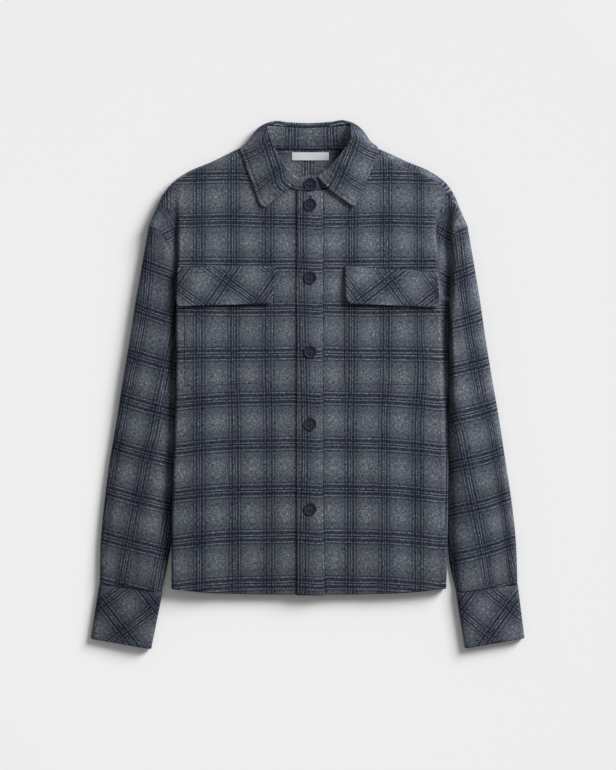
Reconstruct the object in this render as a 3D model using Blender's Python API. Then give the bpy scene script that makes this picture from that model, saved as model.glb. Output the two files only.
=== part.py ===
"""Women's overshirt in brushed plaid flannel, laid on its back with the front closed.

Frame in metres: +X to the viewer's right, +Y towards the collar, +Z up from the surface.
Every panel is one wall of cloth. A wall is a grid of points on the middle of the cloth,
moved out by half the thickness to both sides. Sizes below are in millimetres.
"""
import math

import bmesh
import bpy
import numpy as np

# Driving dimensions
MM = 0.001
CLOTH = 1.5
DOUBLE_CLOTH = 2.2
CUFF_WALL = 2.4
PLACKET_WALL = 2.5
LABEL_WALL = 1.0
SEAM = 0.45
REST = 0.35
FLOOR = CLOTH / 2

UNDERARM_Y = 119.0
YOKE_SEAM_Y = 213.0
YOKE_END_X = 206.5
SIDE_SEAM_TUCK = 3.4
SEAM_RELEASE_Y = 92.0
FOLD_RISE = 6.6
PLACKET_LEFT = -15.4
PLACKET_RIGHT = 19.6
PLACKET_TOP_Y = 271.0
UNDERLAP_X = -12.0
SLEEVE_CLEARANCE = 1.9
UNDERARM_EASE = 16.0
SIDE_RISE = 1.0
SIDE_RISE_START = 60.0
SIDE_RISE_RUN = 110.0
LAP_RISE = 1.9
LAP_RUN = 34.0
CREASE_BELOW_ARM = 60.0
PANEL_HEM_Y = -290.0
BACK_HEM_Y = -285.0
BACK_HEM_STEP = 0.8
NECK_SHARE = 0.42
EDGE_ANGLE = 40.0

BUTTON_RADIUS = 8.5
BUTTON_HEIGHT = 3.2
BUTTON_X = 3.1
BUTTON_YS = (280.4, 252.0, 149.7, 45.9, -55.1, -174.1)
BUTTON_SIDES = 14

# Hem: distance from the middle, height in the picture plane
HEM = ((0.0, -293.2), (90.0, -292.6), (150.0, -290.0), (180.0, -286.5), (200.0, -284.5))

# Height of the front above the surface along the middle
TOP_HEIGHT = (
    (-293.0, 12.2),
    (-230.0, 13.6),
    (-60.0, 14.6),
    (120.0, 14.9),
    (240.0, 14.2),
    (330.0, 14.0),
)

# Body sides: height, outermost point and how far in the top starts to bend down
BODY_SIDE = {
    -1: (
        (-293.0, 190.6, 7.0),
        (-190.0, 190.2, 7.0),
        (-105.0, 187.6, 7.0),
        (-49.0, 185.6, 7.0),
        (40.0, 184.2, 7.0),
        (119.0, 184.8, 7.5),
    ),
    1: (
        (-293.0, 193.0, 7.0),
        (-190.0, 195.6, 7.5),
        (-105.0, 196.4, 9.0),
        (-49.0, 196.8, 10.0),
        (40.0, 197.4, 11.0),
        (119.0, 198.6, 12.0),
    ),
}

# Crease between body and dropped shoulder: height, place, depth, inner and outer width
CREASE = {
    -1: (
        (119.0, 184.8, 10.3, 7.5, 12.0),
        (150.0, 183.6, 8.6, 6.0, 13.0),
        (185.0, 183.4, 6.6, 6.0, 15.0),
        (215.0, 183.6, 4.6, 6.0, 16.0),
        (240.0, 185.4, 3.0, 7.0, 14.0),
        (266.0, 188.0, 1.3, 8.0, 10.0),
        (285.0, 190.0, 0.0, 8.0, 8.0),
    ),
    1: (
        (119.0, 198.6, 10.3, 12.0, 10.0),
        (150.0, 199.4, 9.0, 15.0, 10.0),
        (185.0, 198.4, 7.2, 15.0, 14.0),
        (215.0, 196.6, 4.4, 16.0, 18.0),
        (240.0, 196.6, 2.4, 15.0, 16.0),
        (266.0, 197.6, 1.0, 12.0, 10.0),
        (285.0, 200.0, 0.0, 10.0, 6.0),
    ),
}

# Armhole seam from the underarm to the edge of the shoulder
ARMHOLE = {
    -1: ((184.8, 119.0), (186.4, 140.0), (188.4, 160.0), (191.6, 186.0), (198.4, 201.0),
         (209.0, 214.0), (222.6, 222.2)),
    1: ((198.6, 119.0), (200.0, 140.0), (200.4, 160.0), (199.4, 186.0), (200.6, 203.0),
        (209.6, 216.0), (222.9, 222.2)),
}

# Edge of the shoulder, from the dropped end to the neck: place and depth of the yoke strip
SHOULDER = {
    -1: ((222.6, 222.2, 0.0), (213.0, 244.7, 0.4), (201.6, 267.1, 1.0), (190.0, 282.0, 1.6),
         (172.0, 295.5, 2.6), (134.4, 312.0, 2.8), (112.0, 323.0, 3.4), (95.0, 331.2, 6.4)),
    1: ((222.9, 222.2, 0.0), (213.0, 244.7, 1.2), (203.4, 267.1, 6.0), (193.0, 282.0, 8.0),
        (172.0, 297.6, 8.6), (138.6, 312.0, 8.4), (114.8, 323.0, 7.6), (96.0, 331.2, 6.6)),
}

# Back neck on the yoke: place, height, and length of cloth wrapped up round the neck
YOKE_NECK = ((0.0, 335.6, 0.6), (30.0, 336.2, 0.6), (56.0, 337.2, 1.0), (72.0, 337.4, 5.0),
             (85.0, 335.0, 13.0))

# Front neckline from the closure to the shoulder
FRONT_NECK = ((14.0, 271.3), (35.0, 276.5), (58.0, 290.0), (74.0, 306.0), (86.0, 319.0))

# Soft folds pressed in the fronts: two ends, half width and depth
BODY_FOLDS = (
    (103.0, -290.0, 88.0, -60.0, 20.0, -1.4),
    (-146.0, -288.0, -158.0, -120.0, 16.0, -1.2),
    (150.0, -280.0, 140.0, -160.0, 16.0, 1.0),
    (-70.0, -286.0, -84.0, -150.0, 22.0, 0.9),
    (120.0, 250.0, 165.0, 160.0, 18.0, 1.1),
    (-112.0, 252.0, -160.0, 175.0, 18.0, 1.0),
)

# Sleeves: outer edge, and inner edge below the hem of the body
SLEEVE_OUTER = {
    -1: ((222.6, 222.2), (232.4, 166.3), (240.8, 118.7), (249.4, 62.7), (259.0, 6.7),
         (267.6, -49.4), (277.0, -105.4), (284.4, -161.4), (289.8, -217.4), (291.4, -279.0)),
    1: ((222.9, 222.2), (232.4, 166.3), (240.2, 118.7), (248.4, 62.7), (257.6, 6.7),
        (267.4, -49.4), (275.8, -105.4), (284.4, -161.4), (290.6, -217.4), (293.0, -280.0)),
}
CUFF_CORNERS = {
    -1: ((-205.1, -290.9), (-291.4, -279.0), (-303.4, -355.3), (-220.8, -369.5)),
    1: ((208.6, -291.3), (293.0, -280.0), (302.3, -354.6), (220.8, -368.6)),
}
SLEEVE_PEEK = {-1: (197.8, -252.4), 1: (197.0, -252.4)}
# Sleeve heights: share of the length, crest, radius of the inner fold, width of its slope
SLEEVE_RISE = (
    (0.0, 14.4, 2.5, 12.0),
    (0.15, 15.6, 2.5, 15.0),
    (0.5, 16.4, 2.5, 17.0),
    (0.8, 15.6, 2.7, 17.0),
    (0.94, 13.6, 3.4, 12.0),
    (1.0, 12.6, 4.4, 6.0),
)
# Sleeve folds: share of the length from and to, distance in from the outer edge, half width, depth
SLEEVE_FOLDS = {
    -1: ((0.58, 0.95, 11.0, 6.0, 1.8), (0.1, 0.42, 34.0, 12.0, 1.4), (0.86, 1.0, 48.0, 7.0, 1.6)),
    1: ((0.72, 1.0, 13.0, 6.0, 1.8), (0.08, 0.4, 32.0, 12.0, 1.2), (0.84, 1.0, 40.0, 8.0, 1.6)),
}
CUFF_HEIGHT = 12.2

# Pockets and flaps: corners in the order top inner, top outer, bottom outer, bottom inner
POCKETS = {
    -1: ((-49.8, 147.0), (-173.0, 146.0), (-171.6, -1.8), (-49.8, 3.8)),
    1: ((51.6, 147.0), (171.4, 141.0), (170.6, 0.4), (51.6, 2.2)),
}
FLAPS = {
    -1: ((-45.8, 165.2), (-181.9, 163.2), (-183.6, 109.8), (-50.6, 114.2)),
    1: ((51.8, 165.2), (181.0, 156.0), (183.2, 108.6), (54.0, 113.6)),
}
FLAP_LIFT = ((0.0, 2.3), (0.22, 4.0), (0.7, 4.6), (1.0, 5.9))
POCKET_LIFT = 1.95
FLAP_SUPPORT_X = 173.0

# Collar stand: lower edge and upper edge, from its upper front end round the neck
STAND = (
    (18.4, 272.6, 16.9, 12.0, 291.4, 18.5),
    (2.0, 271.9, 17.0, 0.0, 292.4, 18.7),
    (-16.0, 273.6, 16.8, -13.6, 289.6, 18.9),
    (-36.0, 280.2, 15.9, -25.0, 295.8, 19.3),
    (-55.6, 292.4, 15.4, -35.6, 307.4, 19.8),
    (-71.4, 308.0, 15.2, -45.6, 324.6, 20.0),
    (-81.6, 319.4, 15.0, -52.0, 337.4, 19.6),
    (-84.4, 327.4, 13.6, -56.0, 349.4, 17.6),
    (-74.0, 332.6, 8.6, -57.0, 359.4, 13.0),
    (-56.0, 331.8, 4.2, -49.0, 362.6, 9.0),
    (-28.0, 331.4, 3.0, -27.0, 361.2, 7.6),
    (2.0, 331.0, 2.9, 2.0, 360.2, 7.2),
    (32.0, 331.4, 3.0, 31.0, 361.4, 7.6),
    (58.0, 331.8, 4.2, 52.0, 362.8, 9.0),
    (76.0, 332.6, 8.6, 60.4, 360.0, 13.0),
    (86.0, 327.4, 13.6, 60.6, 350.4, 17.6),
    (83.0, 319.4, 15.0, 55.4, 337.6, 19.4),
    (72.4, 308.0, 14.8, 48.0, 323.6, 19.6),
    (56.6, 292.4, 14.6, 37.0, 310.4, 19.0),
    (36.8, 280.4, 14.4, 24.6, 298.4, 18.0),
    (16.0, 274.2, 13.9, 13.0, 290.8, 15.7),
    (-8.0, 272.6, 13.8, -7.0, 288.0, 15.4),
)
STAND_WALL = 2.0

# Collar leaf: roll line, middle and outer edge, from the left point round to the right point
LEAF = (
    (-13.2, 287.2, 21.2, -32.0, 270.4, 19.8, -60.9, 249.0, 18.2),
    (-23.4, 295.0, 21.8, -44.0, 277.2, 20.4, -67.4, 254.0, 17.6),
    (-33.4, 306.0, 22.2, -54.4, 290.4, 20.8, -75.0, 275.0, 17.2),
    (-43.2, 323.4, 22.6, -64.6, 308.4, 21.0, -83.6, 298.6, 17.0),
    (-50.0, 336.0, 22.6, -71.4, 322.4, 20.8, -89.4, 315.4, 16.8),
    (-54.0, 348.4, 21.2, -77.2, 336.4, 18.6, -94.4, 330.4, 14.2),
    (-56.0, 359.6, 17.4, -78.6, 346.6, 11.0, -80.8, 340.8, 2.4),
    (-54.0, 365.0, 12.4, -68.2, 359.6, 6.4, -66.0, 341.6, 1.35),
    (-47.0, 364.0, 10.0, -46.4, 367.6, 5.4, -46.0, 338.4, 1.35),
    (-27.0, 362.4, 8.6, -27.0, 365.8, 4.8, -27.0, 337.4, 1.35),
    (2.0, 361.2, 8.2, 2.0, 364.6, 4.6, 2.0, 336.8, 1.35),
    (31.0, 362.6, 8.6, 32.0, 366.6, 4.8, 31.0, 337.4, 1.35),
    (50.0, 364.4, 10.0, 50.4, 368.6, 5.4, 50.0, 338.4, 1.35),
    (57.4, 365.8, 12.4, 70.8, 360.6, 6.4, 69.0, 341.6, 1.35),
    (60.0, 359.8, 17.4, 81.8, 347.6, 11.0, 84.0, 340.8, 2.4),
    (59.8, 350.0, 21.2, 81.4, 337.4, 18.6, 98.0, 330.4, 14.2),
    (55.0, 337.4, 22.4, 75.4, 323.4, 20.6, 93.8, 315.4, 16.8),
    (47.0, 323.6, 22.4, 67.4, 307.4, 20.8, 87.0, 298.6, 17.0),
    (35.6, 310.6, 21.8, 57.0, 290.4, 20.4, 78.4, 278.0, 17.2),
    (23.4, 298.6, 21.0, 47.0, 277.0, 20.0, 70.4, 260.0, 17.6),
    (13.4, 291.4, 20.2, 34.3, 270.1, 19.6, 64.4, 249.6, 18.2),
)
LEAF_WALL = 1.9
LEAF_SHARES = (0.0, 0.14, 0.32, 0.5, 0.75, 1.0)

LABEL_CORNERS = ((-22.7, 325.5), (28.7, 325.5), (28.7, 314.8), (-22.7, 314.8))

# Colours of the cloth and trims, linear
NAVY_PLAID = (0.075, 0.088, 0.108)
NAVY_DARK = (0.055, 0.064, 0.082)
NAVY_BUTTON = (0.016, 0.018, 0.026)
LABEL_WHITE = (0.78, 0.78, 0.76)


def clear_scene():
    """Remove every object and mesh of the file."""
    for obj in list(bpy.data.objects):
        bpy.data.objects.remove(obj, do_unlink=True)
    for mesh in list(bpy.data.meshes):
        bpy.data.meshes.remove(mesh)


def cloth_material(name, colour, roughness):
    """A plain Principled finish for one sub-part."""
    material = bpy.data.materials.new(name)
    material.use_nodes = True
    shader = material.node_tree.nodes["Principled BSDF"]
    shader.inputs["Base Color"].default_value = (*colour, 1.0)
    shader.inputs["Roughness"].default_value = roughness
    shader.inputs["Metallic"].default_value = 0.0
    return material


def smooth_step(value):
    """Ease from 0 to 1, flat at both ends."""
    value = min(1.0, max(0.0, value))
    return value * value * (3.0 - 2.0 * value)


def read_row(table, key):
    """Read a table at a key in its first column, on a smooth curve through its rows."""
    rows = np.array(table, dtype=float)
    keys = rows[:, 0]
    values = rows[:, 1:]
    key = min(max(key, keys.min()), keys.max())
    tangents = np.gradient(values, keys, axis=0)
    last = len(keys) - 2
    index = int(min(max(np.searchsorted(keys, key) - 1, 0), last))
    step = keys[index + 1] - keys[index]
    t = (key - keys[index]) / step
    out = (2 * t**3 - 3 * t**2 + 1) * values[index]
    out = out + (t**3 - 2 * t**2 + t) * step * tangents[index]
    out = out + (-2 * t**3 + 3 * t**2) * values[index + 1]
    return out + (t**3 - t**2) * step * tangents[index + 1]


def along(points, share):
    """A point at a share of the length of the smooth curve through some points."""
    rows = np.array(points, dtype=float)
    steps = np.linalg.norm(np.diff(rows[:, :2], axis=0), axis=1)
    keys = np.concatenate([[0.0], np.cumsum(steps)])
    keyed = np.column_stack([keys / keys[-1], rows])
    return read_row(keyed, share)


def polyline(points, count):
    """Even samples of the smooth curve through some points."""
    return np.array([along(points, i / (count - 1)) for i in range(count)])


def ease_to_line(point, line):
    """Shortest distance from a point to a sampled line, in plan."""
    starts = line[:-1, :2]
    ends = line[1:, :2]
    spans = ends - starts
    offsets = np.asarray(point)[:2] - starts
    shares = np.clip((offsets * spans).sum(1) / (spans * spans).sum(1), 0.0, 1.0)
    nearest = starts + spans * shares[:, None]
    return float(np.min(np.linalg.norm(nearest - np.asarray(point)[:2], axis=1)))


SHOULDER_LINE = {side: polyline(SHOULDER[side], 60) for side in (-1, 1)}


def fold_depth(x, y, folds):
    """Sum of the soft folds at a point: positive presses down, negative lifts."""
    total = 0.0
    for x0, y0, x1, y1, width, depth in folds:
        along_x = x1 - x0
        along_y = y1 - y0
        length = math.hypot(along_x, along_y)
        share = ((x - x0) * along_x + (y - y0) * along_y) / length**2
        away = abs((x - x0) * along_y - (y - y0) * along_x) / length
        ends = smooth_step((share + 0.25) / 0.4) * smooth_step((1.25 - share) / 0.4)
        total += depth * ends * math.exp(-((away / width) ** 2))
    return total


def round_over(inset, rise):
    """Drop of a half-round edge at a distance in from its outermost line."""
    if inset >= rise:
        return 0.0
    return rise - math.sqrt(max(rise**2 - (rise - max(inset, 0.0)) ** 2, 0.0))


def front_height(x, y):
    """Middle of the front's cloth above the surface, for a point in plan."""
    side = -1 if x < 0 else 1
    reach = abs(x)
    height = read_row(TOP_HEIGHT, y)[0]
    height += SIDE_RISE * smooth_step((reach - SIDE_RISE_START) / SIDE_RISE_RUN)
    height -= fold_depth(x, y, BODY_FOLDS)
    if y > UNDERARM_Y - CREASE_BELOW_ARM:
        place, depth, inner, outer = read_row(CREASE[side], max(y, UNDERARM_Y))
        width = inner if reach < place else outer
        height -= depth * (1.0 - smooth_step(abs(reach - place) / width))
    if reach > 90.0 and y > YOKE_SEAM_Y - 8.0:
        inset = ease_to_line((reach, y), SHOULDER_LINE[side])
        height -= round_over(inset, FOLD_RISE)
    if x < PLACKET_LEFT:
        height += LAP_RISE * (1.0 - smooth_step((reach + PLACKET_LEFT) / LAP_RUN))
    return height


def surface_normals(grid, closed):
    """Unit normals of a grid of points, from its two directions."""
    if closed:
        around = np.roll(grid, -1, axis=1) - np.roll(grid, 1, axis=1)
    else:
        around = np.gradient(grid, axis=1)
    down = np.gradient(grid, axis=0)
    normals = np.cross(around, down)
    lengths = np.linalg.norm(normals, axis=2, keepdims=True)
    return normals / np.maximum(lengths, 1e-9)


def signed_volume(bm):
    """Volume with the sign that the faces' order gives."""
    return bm.calc_volume(signed=True)


def wall(name, grid, thickness, material, closed=False, level=False):
    """One closed wall of cloth round a grid of middle points, open or closed across."""
    grid = np.asarray(grid, dtype=float)
    normals = surface_normals(grid, closed)
    if level:
        normals[:] = (0.0, 0.0, 1.0)
    rows, columns = grid.shape[:2]
    bm = bmesh.new()
    skins = []
    for offset in (0.5 * thickness, -0.5 * thickness):
        points = (grid + normals * offset) * MM
        skins.append([[bm.verts.new(points[r, c]) for c in range(columns)] for r in range(rows)])
    spans = columns if closed else columns - 1
    for r in range(rows - 1):
        for c in range(spans):
            n = (c + 1) % columns
            for skin, turned in ((skins[0], False), (skins[1], True)):
                corners = [skin[r][c], skin[r][n], skin[r + 1][n], skin[r + 1][c]]
                bm.faces.new(corners[::-1] if turned else corners)
    for r, turned in ((0, True), (rows - 1, False)):
        for c in range(spans):
            n = (c + 1) % columns
            corners = [skins[0][r][c], skins[0][r][n], skins[1][r][n], skins[1][r][c]]
            bm.faces.new(corners[::-1] if turned else corners)
    if not closed:
        for c, turned in ((0, False), (columns - 1, True)):
            for r in range(rows - 1):
                corners = [skins[0][r][c], skins[0][r + 1][c], skins[1][r + 1][c], skins[1][r][c]]
                bm.faces.new(corners[::-1] if turned else corners)
    return finish_solid(name, bm, material)


def finish_solid(name, bm, material):
    """Turn a bmesh into a named object whose faces point out."""
    bmesh.ops.recalc_face_normals(bm, faces=bm.faces)
    if signed_volume(bm) < 0.0:
        bmesh.ops.reverse_faces(bm, faces=bm.faces)
    mesh = bpy.data.meshes.new(name)
    bm.to_mesh(mesh)
    bm.free()
    mesh.materials.append(material)
    mesh.shade_smooth()
    mesh.set_sharp_from_angle(angle=math.radians(EDGE_ANGLE))
    obj = bpy.data.objects.new(name, mesh)
    bpy.context.collection.objects.link(obj)
    return obj


def coons(bottom, top, inner, outer, across, up):
    """Point of a patch between four edges, each a function of its share."""
    corner_bi = bottom(0.0)
    corner_bo = bottom(1.0)
    corner_ti = top(0.0)
    corner_to = top(1.0)
    ruled = (1 - up) * bottom(across) + up * top(across)
    ruled = ruled + (1 - across) * inner(up) + across * outer(up)
    twist = (1 - across) * (1 - up) * corner_bi + across * (1 - up) * corner_bo
    twist = twist + (1 - across) * up * corner_ti + across * up * corner_to
    return ruled - twist


def shoulder_frame(side, share):
    """Edge point of the shoulder, its outward direction and the depth of the yoke strip."""
    x, y, depth = along(SHOULDER[side], share)
    step = 0.004
    ahead = along(SHOULDER[side], min(share + step, 1.0))[:2]
    behind = along(SHOULDER[side], max(share - step, 0.0))[:2]
    run = ahead - behind
    run = run / np.linalg.norm(run)
    return np.array((x, y)), np.array((run[1], -run[0])), depth


def shoulder_seam(side, share, gap=0.0):
    """Seam between front and yoke, in plan on the positive side."""
    edge, outward, depth = shoulder_frame(side, share)
    return edge - outward * (depth + gap)


def wrap_path(length, rise):
    """Inset and lift at a length along a half-round fold that starts flat on the surface."""
    turn = length / rise
    if turn <= math.pi:
        return rise * (1.0 - math.sin(turn)), rise * (1.0 - math.cos(turn))
    return rise + (turn - math.pi) * rise, 2.0 * rise


def side_fold(side, y):
    """Crown, rim and radius of the fold down the side of the body."""
    rim, crown = read_row(BODY_SIDE[side], y)
    top_z = front_height(side * (rim - crown), min(y, SEAM_RELEASE_Y))
    return rim - crown, rim, (top_z - FLOOR) / 2.0


def front_lower_row(side, y, inner_x, columns_in, columns_out):
    """One row of the front below the underarm, from the closure to the side seam."""
    crown_x, rim, rise = side_fold(side, y)
    crown = rim - crown_x
    unwrap = smooth_step((y - SEAM_RELEASE_Y) / (UNDERARM_Y - SEAM_RELEASE_Y))
    row = []
    for i in range(columns_in):
        x = inner_x + (side * crown_x - inner_x) * i / columns_in
        row.append((x, y, front_height(x, y)))
    for i in range(columns_out + 1):
        share = i / columns_out
        reach = crown_x + (crown - SEAM) * share
        lifted = (reach, front_height(side * reach, y))
        total = math.pi + SIDE_SEAM_TUCK / rise
        turn = share * total
        if turn < math.pi / 2:
            tucked = (crown_x + crown * math.sin(turn), FLOOR + rise * (1.0 + math.cos(turn)))
        elif turn < math.pi:
            tucked = (rim - rise * (1.0 - math.sin(turn)), FLOOR + rise * (1.0 + math.cos(turn)))
        else:
            tucked = (rim - rise - (turn - math.pi) * rise, FLOOR)
        x = tucked[0] + (lifted[0] - tucked[0]) * unwrap
        z = tucked[1] + (lifted[1] - tucked[1]) * unwrap
        row.append((side * x, y, z))
    return row


def hem_height(x):
    """Hem line at a distance from the middle."""
    return read_row(HEM, abs(x))[0]


def build_front(name, side, inner_x, material):
    """Front panel: hem to underarm round the side fold, then armhole, shoulder and neck."""
    columns_in = 9
    columns_out = 8
    lower_ys = (None, -240.0, -170.0, -95.0, -20.0, 50.0, SEAM_RELEASE_Y, 102.0, 111.0)
    rows = []
    for y in lower_ys:
        level = PANEL_HEM_Y if y is None else y
        row = front_lower_row(side, level, inner_x, columns_in, columns_out)
        if y is None:
            row = [(p[0], hem_height(p[0]), p[2]) for p in row]
        rows.append(row)
    base_row = np.array(front_lower_row(side, UNDERARM_Y, inner_x, columns_in, columns_out))
    neck_start = np.array((inner_x, PLACKET_TOP_Y))
    neck = [neck_start]
    neck += [np.array((side * x, y)) for x, y in FRONT_NECK if abs(side * x - inner_x) > 8.0]
    seam_end = np.array((side, 1.0)) * shoulder_seam(side, 1.0, 2.0 * SEAM)
    neck.append(seam_end)

    def top(across):
        if across <= NECK_SHARE:
            return along(neck, across / NECK_SHARE)
        share = 1.0 - (across - NECK_SHARE) / (1.0 - NECK_SHARE)
        return np.array((side, 1.0)) * shoulder_seam(side, share, 2.0 * SEAM)

    def inner(up):
        return np.array((inner_x, UNDERARM_Y + (PLACKET_TOP_Y - UNDERARM_Y) * up))

    end = top(1.0)

    def outer(up):
        x, y = along(ARMHOLE[side], up)
        start = np.array((side * ARMHOLE[side][0][0], ARMHOLE[side][0][1]))
        point = np.array((side * x, y))
        shift = (base_row[-1][:2] - start) * (1.0 - up) + (end - along_end) * up
        inward = np.array((-side * SEAM, 0.35 * SEAM))
        return point + shift + inward * 4.0 * up * (1.0 - up)

    along_end = np.array((side * ARMHOLE[side][-1][0], ARMHOLE[side][-1][1]))
    count = columns_in + columns_out

    def bottom(across):
        spot = across * count
        index = min(int(spot), count - 1)
        return base_row[index][:2] + (base_row[index + 1][:2] - base_row[index][:2]) * (spot - index)

    upper_rows = 8
    for r in range(upper_rows + 1):
        up = r / upper_rows
        row = []
        for c in range(count + 1):
            x, y = coons(bottom, top, inner, outer, c / count, up)
            row.append((x, y, front_height(x, y)))
        rows.append(row)
    return wall(name, rows, CLOTH, material)


def armhole_point(side, share, outset):
    """Armhole seam in plan, moved out towards the sleeve."""
    x, y = along(ARMHOLE[side], share)
    return np.array((side * (x + outset), y - 0.35 * outset))


def yoke_seam_share(side):
    """Share of the armhole at which it meets the yoke seam."""
    for share in np.linspace(0.5, 1.0, 101):
        if along(ARMHOLE[side], share)[1] >= YOKE_SEAM_Y:
            return float(share)
    return 1.0


def build_back(material):
    """Back panel, flat on the surface, from hem to yoke seam."""
    columns = 8
    rows = []
    side_ys = (BACK_HEM_Y, -190.0, -100.0, 0.0, SEAM_RELEASE_Y, 104.0, 112.0)
    edges = {side: [] for side in (-1, 1)}
    for side in (-1, 1):
        for y in side_ys:
            rim, rise = side_fold(side, y)[1:]
            edges[side].append((side * (rim - rise - SIDE_SEAM_TUCK - SEAM), y))
        top_share = yoke_seam_share(side)
        for i in range(6):
            x, y = armhole_point(side, top_share * i / 5, -SEAM)
            edges[side].append((x, min(y, YOKE_SEAM_Y - SEAM)))
    for left, right in zip(edges[-1], edges[1]):
        row = []
        for c in range(columns + 1):
            share = c / columns
            x = left[0] + (right[0] - left[0]) * share
            y = left[1] + (right[1] - left[1]) * share
            if left[1] == BACK_HEM_Y:
                y = hem_height(x) + BACK_HEM_STEP
            row.append((x, y, FLOOR))
        rows.append(row)
    last = rows[-1]
    rows[-1] = [(p[0], YOKE_SEAM_Y - SEAM, p[2]) for p in last]
    return wall("back", rows, CLOTH, material, level=True)


def build_yoke(material):
    """Yoke: flat across the upper back, folded over both shoulders to the front seam."""
    stations = []
    for side in (-1, 1):
        half = []
        for i in range(10):
            edge, outward, depth = shoulder_frame(side, i / 9)
            turn = math.pi
            extra = max(depth - FOLD_RISE, 0.0)
            if depth < FOLD_RISE:
                turn = math.pi / 2 + math.acos(1.0 - depth / FOLD_RISE)
            half.append((edge, outward, turn * FOLD_RISE + extra))
        for x, y, length in YOKE_NECK[:0:-1]:
            lean = 0.12 * max(0.0, (x - 30.0) / 55.0)
            half.append((np.array((x, y)), np.array((lean, 1.0)), length))
        stations.append(half)
    centre = [(np.array(YOKE_NECK[0][:2]), np.array((0.0, 1.0)), YOKE_NECK[0][2])]
    ordered = [(-1, s) for s in stations[0]] + [(1, centre[0])]
    ordered += [(1, s) for s in reversed(stations[1])]
    grid = []
    flat_rows = 3
    wrap_rows = 7
    for side, (edge, outward, length) in ordered:
        outward = outward / np.linalg.norm(outward)
        foot = edge - outward * FOLD_RISE
        start = np.array((min(foot[0] * 0.97, YOKE_END_X), YOKE_SEAM_Y + SEAM))
        column = []
        for i in range(flat_rows):
            plan = start + (foot - start) * i / flat_rows
            column.append((side * plan[0], plan[1], FLOOR))
        for i in range(wrap_rows + 1):
            inset, lift = wrap_path(length * i / wrap_rows, FOLD_RISE)
            plan = edge - outward * inset
            column.append((side * plan[0], plan[1], FLOOR + lift))
        grid.append(column)
    return wall("yoke", grid, CLOTH, material)


def sleeve_profile(width, crest, inner_fold, slope, wall_half):
    """Ring of a sleeve: distance from the inner edge and height, starting under the cloth."""
    outer = (crest - wall_half) / 2.0
    ring = []
    for i in range(3):
        reach = inner_fold + (width - outer - inner_fold) * i / 3
        ring.append((reach, wall_half))
    for i in range(7):
        angle = math.pi * (i / 6 - 0.5)
        ring.append((width - outer * (1.0 - math.cos(angle)), wall_half + outer * (1 + math.sin(angle))))
    shelf = inner_fold + slope
    for i in range(1, 6):
        reach = width - outer + (shelf - width + outer) * i / 5
        ring.append((reach, crest))
    low = wall_half + 2.0 * inner_fold
    for share in (0.7, 0.35, 0.0):
        ring.append((inner_fold + slope * share, low + (crest - low) * smooth_step(share)))
    for angle in (126.0, 162.0, 198.0, 234.0):
        bend = math.radians(angle)
        reach = inner_fold * (1.0 + math.cos(bend))
        ring.append((reach, wall_half + inner_fold * (1.0 + math.sin(bend))))
    return ring


def build_sleeve(name, side, material):
    """Sleeve tube from the armhole seam to the cuff seam, lying beside the body."""
    corner_in, corner_out = CUFF_CORNERS[side][:2]
    inner_points = [(abs(armhole_point(side, 0.0, SEAM)[0]) + 0.6, UNDERARM_Y - 1.0)]
    for y in (60.0, 0.0, -60.0, -120.0, -180.0, -215.0):
        inner_points.append((read_row(BODY_SIDE[side], y)[0] + SLEEVE_CLEARANCE, y))
    inner_points.append(SLEEVE_PEEK[side])
    inner_points.append((abs(corner_in[0]), corner_in[1] + SEAM))
    outer_points = list(SLEEVE_OUTER[side])
    outer_points[0] = (outer_points[0][0] + 0.3, outer_points[0][1] - 1.0)
    outer_points[-1] = (outer_points[-1][0], outer_points[-1][1] + SEAM)

    def inner(down):
        x, y = along(inner_points, down)
        return np.array((side * x, y))

    def outer(down):
        x, y = along(outer_points, down)
        return np.array((side * x, y))

    first_in = inner(0.0)
    first_out = outer(0.0)

    def seam_line(across):
        point = armhole_point(side, across, SEAM)
        start = armhole_point(side, 0.0, SEAM)
        end = armhole_point(side, 1.0, SEAM)
        return point + (first_in - start) * (1 - across) + (first_out - end) * across

    def cuff_line(across):
        return inner(1.0) + (outer(1.0) - inner(1.0)) * across

    shares = (0.0, 0.035, 0.08, 0.14, 0.22, 0.32, 0.44, 0.56, 0.67, 0.77, 0.86, 0.93, 1.0)
    rows = []
    for down in shares:
        crest, inner_fold, slope = read_row(SLEEVE_RISE, down)
        width = float(np.linalg.norm(outer(down) - inner(down)))
        row = []
        for reach, height in sleeve_profile(width, crest, inner_fold, slope, FLOOR):
            across = reach / width
            plan = coons(seam_line, cuff_line, inner, outer, across, down)
            tucked = inner(down) + np.array((side * reach, 0.0))
            ease = (1.0 - smooth_step(reach / UNDERARM_EASE)) * (1.0 - smooth_step(down / 0.5))
            plan = plan + (tucked - plan) * ease
            lifted = height > FLOOR + 0.6 * crest
            inset = width - reach
            if lifted:
                for start, stop, place, half, depth in SLEEVE_FOLDS[side]:
                    ends = smooth_step((down - start) / 0.12 + 0.5) * smooth_step((stop - down) / 0.12 + 0.5)
                    height -= depth * ends * math.exp(-(((inset - place) / half) ** 2))
            if height > FLOOR + 0.01:
                nearness = math.exp(-((down / 0.06) ** 2))
                seam = front_height(*seam_point(side, across))
                if reach > inner_fold and inset > 3.0 and height > FLOOR + 2.0:
                    height += (seam - height) * nearness
            row.append((plan[0], plan[1], height))
        rows.append(row)
    return wall(name, rows, CLOTH, material, closed=True)


def seam_point(side, across):
    """Armhole seam in plan at a share from the underarm."""
    x, y = along(ARMHOLE[side], across)
    return side * x, y


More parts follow.
